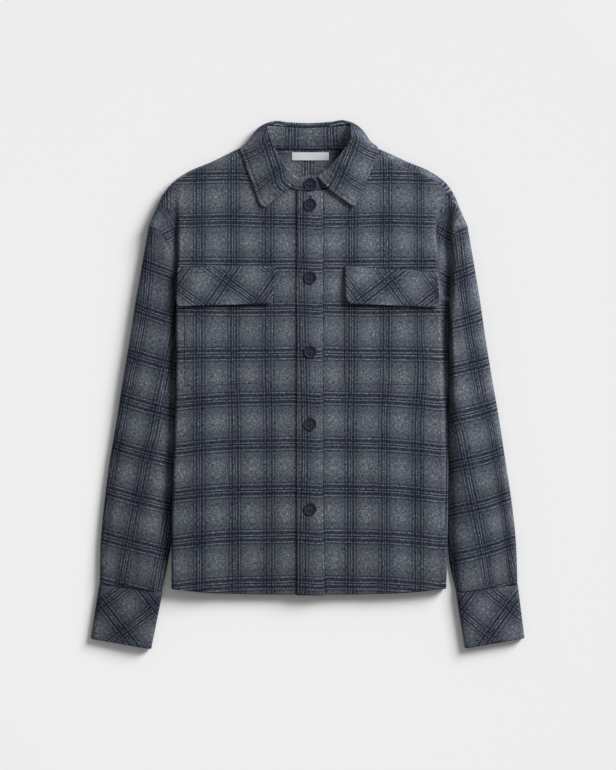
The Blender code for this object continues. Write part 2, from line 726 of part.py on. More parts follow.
def build_cuff(name, side, material):
    """Cuff tube below the sleeve, its mouth open."""
    corners = [np.array(c, dtype=float) for c in CUFF_CORNERS[side]]
    seam_in, seam_out, mouth_out, mouth_in = corners
    rows = []
    half = CUFF_WALL / 2.0
    for down in (0.0, 0.5, 1.0):
        inner = seam_in + (mouth_in - seam_in) * down
        outer = seam_out + (mouth_out - seam_out) * down
        width = float(np.linalg.norm(outer - inner))
        ring = sleeve_profile(width, CUFF_HEIGHT - half, 4.4, 4.0, half)
        rows.append([(*(inner + (outer - inner) * reach / width), height) for reach, height in ring])
    return wall(name, rows, CUFF_WALL, material, closed=True)


def patch_grid(corners, rows, columns, lift):
    """Grid between four corners that follows the front, moved out by a lift per row share."""
    top_in, top_out, low_out, low_in = [np.array(c, dtype=float) for c in corners]
    side = -1 if top_in[0] < 0 else 1
    grid = []
    for r in range(rows + 1):
        down = r / rows
        inner = top_in + (low_in - top_in) * down
        outer = top_out + (low_out - top_out) * down
        row = []
        for c in range(columns + 1):
            x, y = inner + (outer - inner) * c / columns
            firm = side * min(abs(x), FLAP_SUPPORT_X)
            row.append((x, y, front_height(firm, y) + lift(down)))
        grid.append(row)
    return grid


def build_pocket(name, side, material):
    """Patch pocket on the front, its top edge under the flap."""
    grid = patch_grid(POCKETS[side], 5, 6, lambda down: POCKET_LIFT)
    return wall(name, grid, CLOTH, material)


def build_flap(name, side, material):
    """Pocket flap, sewn along its top and standing off the pocket along its lower edge."""
    grid = patch_grid(FLAPS[side], 5, 6, lambda down: read_row(FLAP_LIFT, down)[0])
    return wall(name, grid, DOUBLE_CLOTH, material)


def placket_height(x, y):
    """Middle of the placket above the surface."""
    return front_height(abs(x), y) + CLOTH / 2 + REST + PLACKET_WALL / 2


def build_placket(material):
    """Buttoned placket over the closure, from the stand to the hem."""
    grid = []
    for r in range(15):
        y = PLACKET_TOP_Y - SEAM + (hem_height(0.0) - 0.8 - PLACKET_TOP_Y + SEAM) * r / 14
        spread = 2.6 * smooth_step((-150.0 - y) / 140.0)
        row = []
        for c in range(4):
            x = PLACKET_LEFT + SEAM + (PLACKET_RIGHT - SEAM + spread - PLACKET_LEFT) * c / 3
            row.append((x, y, placket_height(x, y)))
        grid.append(row)
    return wall("placket", grid, PLACKET_WALL, material)


def smooth_table(table, count):
    """Even samples through the rows of a table of points."""
    rows = np.array(table, dtype=float)
    keyed = np.column_stack([np.linspace(0.0, 1.0, len(rows)), rows])
    return np.array([read_row(keyed, i / (count - 1)) for i in range(count)])


def build_stand(material):
    """Collar stand, a band from the neck seam up to the roll line, its ends lapped."""
    grid = []
    for low_x, low_y, low_z, top_x, top_y, top_z in smooth_table(STAND, 43):
        low = np.array((low_x, low_y, low_z))
        top = np.array((top_x, top_y, top_z))
        column = []
        for i in range(4):
            share = i / 3
            point = low + (top - low) * share
            column.append(point)
        grid.append(column)
    return wall("collar_stand", grid, STAND_WALL, material)


def build_leaf(material):
    """Collar leaf from the roll line over to its outer edge and points."""
    grid = []
    for row in smooth_table(LEAF, 41):
        roll = row[0:3]
        middle = row[3:6]
        edge = row[6:9]
        keyed = np.array(((0.0, *roll), (0.5, *middle), (1.0, *edge)))
        grid.append([read_row(keyed, share) for share in LEAF_SHARES])
    return wall("collar", grid, LEAF_WALL, material)


def build_label(material):
    """Blank woven label inside the back neck."""
    grid = []
    top_left, top_right, low_right, low_left = [np.array(c) for c in LABEL_CORNERS]
    height = CLOTH + REST + LABEL_WALL / 2
    for r in range(3):
        left = top_left + (low_left - top_left) * r / 2
        right = top_right + (low_right - top_right) * r / 2
        grid.append([(*(left + (right - left) * c / 2), height) for c in range(3)])
    return wall("label", grid, LABEL_WALL, material, level=True)


def build_button(name, y, seat, tilt, material):
    """Turned button with a raised rim and a dished middle."""
    radius = BUTTON_RADIUS if name != "button_1" else BUTTON_RADIUS - 0.5
    profile = (
        (0.0, 0.0),
        (radius - 1.2, 0.0),
        (radius, 1.2),
        (radius - 0.4, BUTTON_HEIGHT - 0.5),
        (radius - 1.4, BUTTON_HEIGHT),
        (radius - 2.8, BUTTON_HEIGHT - 0.9),
        (0.0, BUTTON_HEIGHT - 1.0),
    )
    bm = bmesh.new()
    rings = []
    for reach, height in profile:
        if reach == 0.0:
            rings.append([bm.verts.new((0.0, 0.0, height * MM))])
            continue
        ring = []
        for i in range(BUTTON_SIDES):
            angle = 2.0 * math.pi * i / BUTTON_SIDES
            ring.append(bm.verts.new((reach * math.cos(angle) * MM, reach * math.sin(angle) * MM,
                                      height * MM)))
        rings.append(ring)
    for lower, upper in zip(rings, rings[1:]):
        for i in range(BUTTON_SIDES):
            n = (i + 1) % BUTTON_SIDES
            corners = [lower[i % len(lower)], lower[n % len(lower)], upper[n % len(upper)],
                       upper[i % len(upper)]]
            unique = list(dict.fromkeys(corners))
            bm.faces.new(unique)
    button = finish_solid(name, bm, material)
    button.location = (BUTTON_X * MM, y * MM, seat * MM)
    button.rotation_euler[0] = tilt
    return button


def stand_seat(y):
    """Height and slope of the stand's upper end under the first button."""
    low_y, low_z = STAND[1][1:3]
    top_y, top_z = STAND[1][4:6]
    slope = (top_z - low_z) / (top_y - low_y)
    return low_z + slope * (y - low_y) + STAND_WALL / 2 + REST, math.atan(slope)


def centre_on_floor():
    """Move all pieces so that the box of the whole stands centred on the origin."""
    bpy.context.view_layer.update()
    low = np.full(3, 1e9)
    high = np.full(3, -1e9)
    for obj in bpy.data.objects:
        for vertex in obj.data.vertices:
            place = np.array(obj.matrix_world @ vertex.co)
            low = np.minimum(low, place)
            high = np.maximum(high, place)
    shift = ((low[0] + high[0]) / 2, (low[1] + high[1]) / 2, low[2])
    for obj in bpy.data.objects:
        for axis in range(3):
            obj.location[axis] -= shift[axis]


def build_garment():
    """Build every piece of the overshirt."""
    clear_scene()
    plaid = cloth_material("plaid_flannel", NAVY_PLAID, 0.9)
    bias = cloth_material("bias_flannel", NAVY_DARK, 0.9)
    horn = cloth_material("navy_button", NAVY_BUTTON, 0.35)
    satin = cloth_material("white_satin", LABEL_WHITE, 0.5)
    build_back(plaid)
    build_yoke(plaid)
    build_front("front_right", -1, PLACKET_LEFT - SEAM / 2, plaid)
    build_front("front_left", 1, UNDERLAP_X, plaid)
    build_placket(plaid)
    build_stand(plaid)
    build_leaf(plaid)
    for name, side in (("right", -1), ("left", 1)):
        build_sleeve("sleeve_" + name, side, plaid)
        build_cuff("cuff_" + name, side, bias)
        build_pocket("pocket_" + name, side, plaid)
        build_flap("flap_" + name, side, bias)
    build_label(satin)
    for number, y in enumerate(BUTTON_YS, start=1):
        seat, tilt = stand_seat(y)
        if number > 1:
            seat = placket_height(BUTTON_X, y) + PLACKET_WALL / 2 + REST
            tilt = 0.0
        build_button("button_" + str(number), y, seat, tilt, horn)
    centre_on_floor()


build_garment()
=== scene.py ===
import logging
import math
from dataclasses import dataclass, field
from enum import Enum
from typing import Callable, Optional, Sequence

import bpy
import numpy as np
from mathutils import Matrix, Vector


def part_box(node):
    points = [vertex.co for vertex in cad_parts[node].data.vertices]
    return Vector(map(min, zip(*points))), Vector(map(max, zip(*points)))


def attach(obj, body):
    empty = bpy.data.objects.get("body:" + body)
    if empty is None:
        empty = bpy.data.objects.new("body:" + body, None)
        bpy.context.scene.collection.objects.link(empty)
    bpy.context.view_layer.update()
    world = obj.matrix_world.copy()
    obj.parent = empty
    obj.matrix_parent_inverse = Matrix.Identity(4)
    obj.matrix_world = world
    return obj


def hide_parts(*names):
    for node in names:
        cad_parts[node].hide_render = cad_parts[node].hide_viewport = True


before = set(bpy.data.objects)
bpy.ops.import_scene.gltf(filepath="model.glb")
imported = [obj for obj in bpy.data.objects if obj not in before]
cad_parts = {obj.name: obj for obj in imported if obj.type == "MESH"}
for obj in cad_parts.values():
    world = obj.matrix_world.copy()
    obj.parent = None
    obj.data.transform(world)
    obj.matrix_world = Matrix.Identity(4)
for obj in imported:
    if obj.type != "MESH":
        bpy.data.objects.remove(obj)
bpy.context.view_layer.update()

LOG = logging.getLogger("overshirt")

MM = 0.001
CLOTH = 1.5
FLOOR = CLOTH / 2
SEAM = 0.12
REST = 0.35
UNDERARM_Y = 119.0
YOKE_SEAM_Y = 213.0
YOKE_END_X = 206.5
SIDE_SEAM_TUCK = 3.4
SEAM_RELEASE_Y = 92.0
FOLD_RISE = 6.6
PLACKET_LEFT = -15.4
PLACKET_RIGHT = 19.6
PLACKET_TOP_Y = 271.0
PLACKET_WALL = 2.5
UNDERLAP_X = -12.0
CENTRE_X = 3.15
PANEL_HEM_Y = -290.0
BACK_HEM_Y = -285.0
HEM_BLEND = 60.0
BACK_HEM_STEP = 0.8

# Plaid: repeats, place of the first warp group out from the middle, topmost weft band on the body,
# the bands' distance there and how it grows downwards
WARP_REPEAT = 48.3
WEFT_REPEAT = 63.0
FIRST_GROUP = 58.45
TOP_BAND_Y = 290.2
BAND_GAP = 59.9
BAND_GROWTH = 0.3367

# The shared drawing: all sizes in millimetres, the frame's origin shifted by OFFSET
HEM = ((0.0, -293.2), (90.0, -292.6), (150.0, -290.0), (180.0, -286.5), (200.0, -284.5))
TOP_HEIGHT = ((-293.0, 12.2), (-230.0, 13.6), (-60.0, 14.6), (120.0, 14.9), (240.0, 14.2), (330.0, 14.0))
BODY_SIDE = {
    -1: ((-293.0, 190.6, 2.8), (-190.0, 190.2, 2.8), (-105.0, 187.6, 2.8), (-49.0, 185.6, 2.8),
         (40.0, 184.2, 2.8), (119.0, 184.8, 2.8)),
    1: ((-293.0, 193.0, 2.8), (-190.0, 195.6, 2.8), (-105.0, 196.4, 2.6), (-49.0, 196.8, 2.6),
        (40.0, 197.4, 2.6), (119.0, 198.6, 2.6)),
}
# Crease between body and sleeve: height, place, depth, inner and outer width
CREASE = {
    -1: ((119.0, 184.8, 12.3, 2.9, 14.0), (150.0, 183.6, 11.0, 3.0, 15.0), (185.0, 183.4, 9.0, 3.4, 17.0),
         (215.0, 183.6, 6.6, 4.2, 17.0), (240.0, 185.4, 3.8, 5.5, 15.0), (266.0, 188.0, 1.4, 8.0, 10.0),
         (285.0, 190.0, 0.0, 8.0, 8.0)),
    1: ((-293.0, 193.0, 0.6, 3.0, 10.0), (-230.0, 194.8, 3.2, 3.0, 10.0), (-150.0, 196.0, 8.4, 4.2, 10.0),
        (-78.0, 196.6, 11.4, 6.6, 10.0), (40.0, 197.4, 12.6, 11.6, 10.0), (119.0, 198.6, 13.0, 14.8, 6.0),
        (150.0, 199.0, 12.6, 17.4, 5.0), (185.0, 197.6, 11.8, 19.0, 5.0), (215.0, 196.4, 9.6, 20.4, 7.0),
        (240.0, 196.6, 5.6, 18.0, 10.0), (266.0, 197.6, 2.0, 13.0, 10.0), (285.0, 200.0, 0.0, 10.0, 6.0)),
}
CREASE_LIP = {-1: 0.0, 1: 0.55}
# Plump edge of the body along the sleeve
SIDE_SWELL = {-1: 3.4, 1: 0.8}
# Swell of the dropped shoulder past the crease: its place, half widths and height
DROP_SWELL = {-1: (212.0, 165.0, 9.0, 50.0, 0.0), 1: (212.0, 165.0, 9.0, 50.0, 3.4)}
# Cloth beside the placket: how high it lies, the width of the groove at the placket's edge, the reach
BESIDE_LEFT = (0.7, 2.4, 34.0)
BESIDE_RIGHT = (1.2, 2.4, 34.0)
PLACKET_FLARE = (2.6, -150.0, 140.0)
ARMHOLE = {
    -1: ((184.8, 119.0), (186.4, 140.0), (188.4, 160.0), (191.6, 186.0), (198.4, 201.0),
         (209.0, 214.0), (222.6, 222.2)),
    1: ((198.6, 119.0), (200.0, 140.0), (200.4, 160.0), (199.4, 186.0), (200.6, 203.0),
        (209.6, 216.0), (222.9, 222.2)),
}
SHOULDER = {
    -1: ((222.6, 222.2, 0.0), (213.0, 244.7, 0.4), (201.6, 267.1, 1.0), (190.0, 282.0, 1.6),
         (172.0, 295.5, 2.6), (134.4, 312.0, 2.8), (112.0, 323.0, 3.4), (95.0, 331.2, 6.4)),
    1: ((222.9, 222.2, 0.0), (213.0, 244.7, 1.2), (203.4, 267.1, 6.0), (193.0, 282.0, 8.0),
        (172.0, 297.6, 8.6), (138.6, 312.0, 8.4), (114.8, 323.0, 7.6), (96.0, 331.2, 6.6)),
}
YOKE_NECK = ((0.0, 335.6, 0.6), (30.0, 336.2, 0.6), (56.0, 337.2, 1.0), (72.0, 337.4, 5.0),
             (85.0, 335.0, 13.0))
FRONT_NECK = ((14.0, 271.3), (35.0, 276.5), (58.0, 290.0), (74.0, 306.0), (86.0, 319.0))
BODY_FOLDS = (
    (103.0, -290.0, 88.0, -60.0, 20.0, -1.4),
    (-146.0, -288.0, -158.0, -120.0, 16.0, -1.2),
    (150.0, -280.0, 140.0, -160.0, 16.0, 1.0),
    (-70.0, -286.0, -84.0, -150.0, 22.0, 0.9),
    (120.0, 250.0, 165.0, 160.0, 18.0, 1.1),
    (-112.0, 252.0, -160.0, 175.0, 18.0, 1.0),
)
# Fine creases: two ends, half width, depth (positive presses down)
FINE_FOLDS = (
    (78.0, -287.0, 84.0, -90.0, 7.0, 0.8),
    (118.0, -288.0, 104.0, -150.0, 6.0, 0.6),
    (52.0, -240.0, 60.0, -120.0, 10.0, 0.5),
    (-146.0, -284.0, -154.0, -190.0, 5.0, 0.7),
    (-118.0, -286.0, -112.0, -200.0, 8.0, 0.5),
    (-48.0, -250.0, -56.0, -120.0, 12.0, 0.4),
    (-168.0, -30.0, -176.0, -160.0, 8.0, 0.6),
    (172.0, -40.0, 180.0, -170.0, 8.0, 0.7),
    (-150.0, 196.0, -176.0, 172.0, 7.0, 0.7),
    (-128.0, 236.0, -178.0, 214.0, 8.0, 0.5),
    (150.0, 214.0, 176.0, 190.0, 7.0, 0.7),
    (128.0, 246.0, 172.0, 232.0, 9.0, 0.5),
    (-60.0, 262.0, -92.0, 200.0, 11.0, 0.5),
    (66.0, 262.0, 96.0, 206.0, 12.0, 0.5),
    (34.0, 100.0, 40.0, -40.0, 9.0, 0.4),
    (-30.0, 20.0, -36.0, -110.0, 9.0, 0.4),
    (60.0, -20.0, 150.0, -34.0, 12.0, 0.35),
    (-60.0, -26.0, -160.0, -40.0, 12.0, 0.35),
)
SLEEVE_OUTER = {
    -1: ((222.6, 222.2), (232.4, 166.3), (240.8, 118.7), (249.4, 62.7), (259.0, 6.7),
         (267.6, -49.4), (277.0, -105.4), (284.4, -161.4), (289.8, -217.4), (291.4, -279.0)),
    1: ((222.9, 222.2), (232.4, 166.3), (240.2, 118.7), (248.4, 62.7), (257.6, 6.7),
        (267.4, -49.4), (275.8, -105.4), (284.4, -161.4), (290.6, -217.4), (293.0, -280.0)),
}
CUFF_CORNERS = {
    -1: ((-205.1, -290.9), (-291.4, -279.0), (-303.4, -355.3), (-220.8, -369.5)),
    1: ((208.6, -291.3), (293.0, -280.0), (302.3, -354.6), (220.8, -368.6)),
}
SLEEVE_PEEK = {-1: (197.8, -252.4), 1: (199.0, -252.4)}
SLEEVE_CLEARANCE = 1.0
UNDERARM_EASE = 16.0
# Share of the length, crest, radius of the inner fold, width of its slope and of the low strip before it
SLEEVE_RISE = {
    -1: ((0.0, 13.0, 2.0, 26.0, 0.0), (0.15, 12.8, 2.0, 42.0, 0.0), (0.3, 12.8, 2.0, 44.0, 0.0),
         (0.5, 13.0, 2.0, 38.0, 0.0), (0.8, 13.2, 2.3, 32.0, 0.0), (0.94, 13.0, 3.4, 16.0, 0.0),
         (1.0, 12.6, 4.4, 6.0, 0.0)),
    1: ((0.0, 17.6, 3.0, 12.0, 0.0), (0.12, 20.4, 2.6, 19.0, 0.0), (0.3, 20.2, 2.6, 22.0, 0.0),
        (0.5, 18.6, 2.6, 26.0, 2.6), (0.76, 16.4, 2.6, 38.0, 6.5), (0.94, 13.8, 3.4, 28.0, 4.0),
        (1.0, 12.6, 4.0, 12.0, 0.0)),
}
# How far the outer edge of sleeve and cuff sinks, on the side away from the lamp
OUTER_SINK = {-1: 2.6, 1: 0.0}
# Share of the length from and to, distance in from the outer edge there, half width, depth
SLEEVE_FOLDS = {
    -1: ((0.60, 0.92, 6.5, 5.5, 3.6, 2.2), (0.12, 0.4, 30.0, 27.0, 10.0, 0.5),
         (0.86, 1.0, 48.0, 46.0, 7.0, 1.8), (0.3, 0.62, 40.0, 34.0, 8.0, 0.4),
         (0.62, 0.9, 30.0, 44.0, 8.0, 0.6), (0.9, 1.02, 22.0, 20.0, 5.0, 1.0),
         (0.04, 0.2, 20.0, 26.0, 6.0, 0.5)),
    1: ((0.72, 1.0, 13.0, 13.0, 5.0, 1.6), (0.08, 0.4, 26.0, 24.0, 10.0, 0.6),
        (0.84, 1.0, 40.0, 40.0, 8.0, 1.6), (0.3, 0.66, 36.0, 32.0, 9.0, 0.6),
        (0.6, 0.88, 30.0, 46.0, 8.0, 0.7), (0.9, 1.02, 24.0, 22.0, 5.0, 1.0),
        (0.04, 0.2, 20.0, 24.0, 6.0, 0.5)),
}
CUFF_HEIGHT = 12.2
CUFF_WALL = 2.4
POCKETS = {
    -1: ((-49.8, 147.0), (-173.0, 146.0), (-171.6, -1.8), (-49.8, 3.8)),
    1: ((51.6, 147.0), (171.4, 141.0), (170.6, 0.4), (51.6, 2.2)),
}
FLAPS = {
    -1: ((-45.8, 165.2), (-181.9, 163.2), (-183.6, 109.8), (-50.6, 114.2)),
    1: ((51.8, 165.2), (181.0, 156.0), (183.2, 108.6), (54.0, 113.6)),
}
FLAP_LIFT = ((0.0, 2.3), (0.22, 4.0), (0.7, 4.6), (1.0, 5.9))
FLAP_CURL = {-1: 0.5, 1: 2.0}
FLAP_ROUND = {-1: (3.0, 6.0), 1: (10.0, 5.0)}
POCKET_ROUND = (3.0, 3.0)
POCKET_LIFT = 1.25
POCKET_WALL = 0.9
FLAP_SUPPORT_X = 173.0
STAND = (
    (18.4, 272.6, 16.9, 12.0, 291.4, 18.5), (2.0, 271.9, 17.0, 0.0, 292.4, 18.7),
    (-16.0, 273.6, 16.8, -13.6, 289.6, 18.9), (-36.0, 280.2, 15.9, -25.0, 295.8, 19.3),
    (-55.6, 292.4, 15.4, -35.6, 307.4, 19.8), (-71.4, 308.0, 15.2, -45.6, 324.6, 20.0),
    (-81.6, 319.4, 15.0, -52.0, 337.4, 19.6), (-84.4, 327.4, 13.6, -56.0, 349.4, 17.6),
    (-74.0, 332.6, 8.6, -57.0, 359.4, 13.0), (-56.0, 331.8, 3.6, -49.0, 362.6, 9.0),
    (-28.0, 331.4, 2.45, -27.0, 361.2, 7.6), (2.0, 331.0, 2.35, 2.0, 360.2, 7.2),
    (32.0, 331.4, 2.45, 31.0, 361.4, 7.6), (58.0, 331.8, 3.6, 52.0, 362.8, 9.0),
    (76.0, 332.6, 8.6, 60.4, 360.0, 13.0), (86.0, 327.4, 13.6, 60.6, 350.4, 17.6),
    (83.0, 319.4, 15.0, 55.4, 337.6, 19.4), (72.4, 308.0, 14.8, 48.0, 323.6, 19.6),
    (56.6, 292.4, 14.6, 37.0, 310.4, 19.0), (36.8, 280.4, 14.4, 24.6, 298.4, 18.0),
    (16.0, 274.2, 13.9, 13.0, 290.8, 15.7), (-8.0, 272.6, 13.8, -7.0, 288.0, 15.4),
)
STAND_WALL = 1.6
LEAF = (
    (-13.2, 287.2, 21.2, -32.0, 270.4, 19.8, -60.9, 249.0, 18.2),
    (-23.4, 295.0, 21.8, -44.0, 277.2, 20.4, -67.4, 254.0, 17.6),
    (-33.4, 306.0, 22.2, -54.4, 290.4, 20.8, -75.0, 275.0, 17.2),
    (-43.2, 323.4, 22.6, -64.6, 308.4, 21.0, -83.6, 298.6, 17.0),
    (-50.0, 336.0, 22.6, -71.4, 322.4, 20.8, -89.4, 315.4, 16.8),
    (-54.0, 348.4, 21.2, -77.2, 336.4, 18.6, -94.4, 330.4, 14.2),
    (-56.0, 359.6, 17.4, -78.6, 346.6, 11.0, -80.8, 340.8, 2.4),
    (-54.0, 365.0, 12.4, -68.2, 359.6, 6.4, -66.0, 341.6, 1.35),
    (-47.0, 364.0, 10.0, -46.4, 367.6, 5.4, -46.0, 338.4, 1.35),
    (-27.0, 362.4, 8.6, -27.0, 365.8, 4.8, -27.0, 337.4, 1.35),
    (2.0, 361.2, 8.2, 2.0, 364.6, 4.6, 2.0, 336.8, 1.35),
    (31.0, 362.6, 8.6, 32.0, 366.6, 4.8, 31.0, 337.4, 1.35),
    (50.0, 364.4, 10.0, 50.4, 368.6, 5.4, 50.0, 338.4, 1.35),
    (57.4, 365.8, 12.4, 70.8, 360.6, 6.4, 69.0, 341.6, 1.35),
    (60.0, 359.8, 17.4, 81.8, 347.6, 11.0, 84.0, 340.8, 2.4),
    (59.8, 350.0, 21.2, 81.4, 337.4, 18.6, 98.0, 330.4, 14.2),
    (55.0, 337.4, 22.4, 75.4, 323.4, 20.6, 93.8, 315.4, 16.8),
    (47.0, 323.6, 22.4, 67.4, 307.4, 20.8, 87.0, 298.6, 17.0),
    (35.6, 310.6, 21.8, 57.0, 290.4, 20.4, 78.4, 278.0, 17.2),
    (23.4, 298.6, 21.0, 47.0, 277.0, 20.0, 70.4, 260.0, 17.6),
    (13.4, 291.4, 20.2, 34.3, 270.1, 19.6, 64.4, 249.6, 18.2),
)
LEAF_WALL = 1.9
FLAP_WALL = 2.2
LABEL_WALL = 1.0
LABEL_CORNERS = ((-22.7, 325.5), (28.7, 325.5), (28.7, 314.8), (-22.7, 314.8))
BUTTON_X = 3.1
BUTTON_YS = (280.4, 252.0, 149.7, 45.9, -55.1, -174.1)

# Bias cuts: angle of the warp's normal, angle of the weft, place of a warp group and of a weft band
BIAS_FLAP = {-1: (54.0, 56.0, 51.65, 177.0), 1: (36.0, 38.0, 177.8, 46.4)}
BIAS_CUFF = {-1: (127.0, -52.0, -119.9, -415.9), 1: (50.0, 54.0, -105.6, -410.7)}
BIAS_STRETCH = 1.12

PLAID = "plaid_flannel"
BIAS = "bias_flannel"
SATIN = "white_satin"
BUTTON = "navy_button"

Array = np.ndarray


class Side(Enum):
    """Side of the picture: the viewer's left is the wearer's right."""

    RIGHT = -1
    LEFT = 1

    @property
    def word(self) -> str:
        """The wearer's side, as the frame names it."""
        return "right" if self is Side.RIGHT else "left"


def find_offset() -> Array:
    """Shift from the drawing to the frame, read off the third button and the back.

    Returns:
        Millimetres to add to a point of the drawing.
    """
    low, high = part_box("button_3")
    middle = (low + high) / 2 / MM
    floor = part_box("back")[0].z / MM
    return np.array((middle.x - BUTTON_X, middle.y - BUTTON_YS[2], floor))


OFFSET = find_offset()


def ease(value: Array) -> Array:
    """Ease from 0 to 1, flat at both ends."""
    t = np.clip(value, 0.0, 1.0)
    return t * t * (3.0 - 2.0 * t)


def bump(value: Array) -> Array:
    """A soft bell, 1 at 0."""
    return np.exp(-np.square(value))


def hermite(t: Array, starts: Array, stops: Array, leaving: Array, arriving: Array) -> Array:
    """Points on smooth curves between pairs of points.

    Args:
        t: Shares of the way, from 0 to 1.
        starts: First points.
        stops: Second points.
        leaving: Tangents at the first points, a step long.
        arriving: Tangents at the second points, a step long.

    Returns:
        The points.
    """
    out = (2 * t**3 - 3 * t**2 + 1) * starts + (t**3 - 2 * t**2 + t) * leaving
    return out + (-2 * t**3 + 3 * t**2) * stops + (t**3 - t**2) * arriving


def read(table: Sequence[Sequence[float]], keys: Array) -> Array:
    """Read a table on a smooth curve through its rows.

    Args:
        table: Rows whose first column is the key.
        keys: Keys to read at, of any shape.

    Returns:
        The other columns, along a last axis.
    """
    rows = np.asarray(table, dtype=float)
    at = rows[:, 0]
    values = rows[:, 1:]
    tangents = np.gradient(values, at, axis=0)
    keys = np.clip(np.asarray(keys, dtype=float), at[0], at[-1])
    index = np.clip(np.searchsorted(at, keys) - 1, 0, len(at) - 2)
    step = at[index + 1] - at[index]
    t = ((keys - at[index]) / step)[..., None]
    slopes = step[..., None] * tangents[index], step[..., None] * tangents[index + 1]
    return hermite(t, values[index], values[index + 1], *slopes)


def along(points: Sequence[Sequence[float]], shares: Array) -> Array:
    """Points at shares of the length of the smooth curve through some points.

    Args:
        points: Points of two or more columns, the length taken in plan.
        shares: Shares from 0 to 1, of any shape.

    Returns:
        The points, along a last axis.
    """
    rows = np.asarray(points, dtype=float)
    steps = np.linalg.norm(np.diff(rows[:, :2], axis=0), axis=1)
    keys = np.concatenate([[0.0], np.cumsum(steps)])
    return read(np.column_stack([keys / keys[-1], rows]), shares)


def even_rows(table: Sequence[Sequence[float]], count: int) -> Array:
    """Even samples through the rows of a table of points."""
    rows = np.asarray(table, dtype=float)
    keyed = np.column_stack([np.linspace(0.0, 1.0, len(rows)), rows])
    return read(keyed, np.linspace(0.0, 1.0, count))


def distance_to_line(points: Array, line: Array) -> Array:
    """Shortest distance in plan from points to a sampled line.

    Args:
        points: Points in plan, along a last axis of two.
        line: The line's samples in plan.

    Returns:
        Distances, of the points' shape.
    """
    flat = points.reshape(-1, 1, 2)
    starts = line[None, :-1]
    spans = line[None, 1:] - starts
    shares = np.clip(((flat - starts) * spans).sum(2) / (spans**2).sum(2), 0.0, 1.0)
    nearest = starts + spans * shares[..., None]
    return np.linalg.norm(nearest - flat, axis=2).min(1).reshape(points.shape[:-1])


SHOULDER_LINE = {side: along(SHOULDER[side], np.linspace(0.0, 1.0, 60))[:, :2] for side in (-1, 1)}


def fold_depth(x: Array, y: Array, folds: Sequence[Sequence[float]]) -> Array:
    """Sum of soft folds: positive presses down.

    Args:
        x: Places across.
        y: Places along.
        folds: Two ends, half width and depth of each fold.

    Returns:
        Depths, of the places' shape.
    """
    total = np.zeros_like(x)
    for x0, y0, x1, y1, width, depth in folds:
        run_x = x1 - x0
        run_y = y1 - y0
        length = math.hypot(run_x, run_y)
        share = ((x - x0) * run_x + (y - y0) * run_y) / length**2
        away = np.abs((x - x0) * run_y - (y - y0) * run_x) / length
        ends = ease((share + 0.25) / 0.4) * ease((1.25 - share) / 0.4)
        total += depth * ends * bump(away / width)
    return total


def round_over(inset: Array, rise: float) -> Array:
    """Drop of a half-round edge at a distance in from its outermost line."""
    inset = np.clip(inset, 0.0, rise)
    return rise - np.sqrt(np.maximum(rise**2 - (rise - inset) ** 2, 0.0))


def flare(y: Array) -> Array:
    """How much wider the placket opens towards the hem."""
    width, start, run = PLACKET_FLARE
    return width * ease((start - y) / run)


def front_height(x: Array, y: Array) -> Array:
    """Middle of the front's cloth above the floor.

    Args:
        x: Places across, in the drawing.
        y: Places along, in the drawing.

    Returns:
        Heights, of the places' shape.
    """
    x = np.asarray(x, dtype=float)
    y = np.asarray(y, dtype=float) + np.zeros_like(x)
    reach = np.abs(x)
    height = read(TOP_HEIGHT, y)[..., 0] + ease((reach - 60.0) / 110.0)
    height = height - fold_depth(x, y, BODY_FOLDS) - fold_depth(x, y, FINE_FOLDS)
    for side in (-1, 1):
        here = (x < 0.0) if side < 0 else (x >= 0.0)
        crease = read(CREASE[side], y)
        place, depth, inner, outer = (crease[..., i] for i in range(4))
        into = 1.0 + (reach - place) / inner
        lip = CREASE_LIP[side]
        rising = lip * ease(into / 0.2) + (1.0 - lip) * ease(into)
        falling = 1.0 - ease((reach - place) / outer)
        pressed = depth * np.where(reach < place, rising, falling)
        height = height - np.where(here & (y > CREASE[side][0][0] - 60.0), pressed, 0.0)
        swell = SIDE_SWELL[side] * ease((reach - 105.0) / 70.0) * (1.0 - ease((y - 150.0) / 110.0))
        height = height + np.where(here, swell, 0.0)
        across, up, half_across, half_up, lift = DROP_SWELL[side]
        puff = lift * bump((reach - across) / half_across) * bump((y - up) / half_up)
        height = height + np.where(here, puff, 0.0)
        near = here & (reach > 90.0) & (y > YOKE_SEAM_Y - 8.0)
        if near.any():
            inset = distance_to_line(np.stack([reach[near], y[near]], -1), SHOULDER_LINE[side])
            height[near] -= round_over(inset, FOLD_RISE)
    for beside, (rise, groove, run), away in ((x < 0.0, BESIDE_LEFT, reach + PLACKET_LEFT),
                                              (x > 0.0, BESIDE_RIGHT, reach - PLACKET_RIGHT - flare(y))):
        level = rise * ease(away / groove) * (1.0 - ease(away / run))
        height = height + np.where(beside & (away > 0.0), level, 0.0)
    return height


def hem_height(x: Array) -> Array:
    """Hem line at a distance from the middle."""
    return read(HEM, np.abs(x))[..., 0]


def coons(edges: Sequence[Callable[[Array], Array]], across: Array, up: Array) -> Array:
    """Points of a patch between four edges.

    Args:
        edges: Bottom, top, inner and outer edge, each a function of its share.
        across: Shares across.
        up: Shares up.

    Returns:
        Points in plan.
    """
    bottom, top, inner, outer = edges
    a = across[..., None]
    u = up[..., None]
    ends = np.array((0.0, 1.0))
    low = bottom(ends)
    high = top(ends)
    ruled = (1 - u) * bottom(across) + u * top(across) + (1 - a) * inner(up) + a * outer(up)
    twist = (1 - a) * (1 - u) * low[0] + a * (1 - u) * low[1]
    return ruled - twist - (1 - a) * u * high[0] - a * u * high[1]


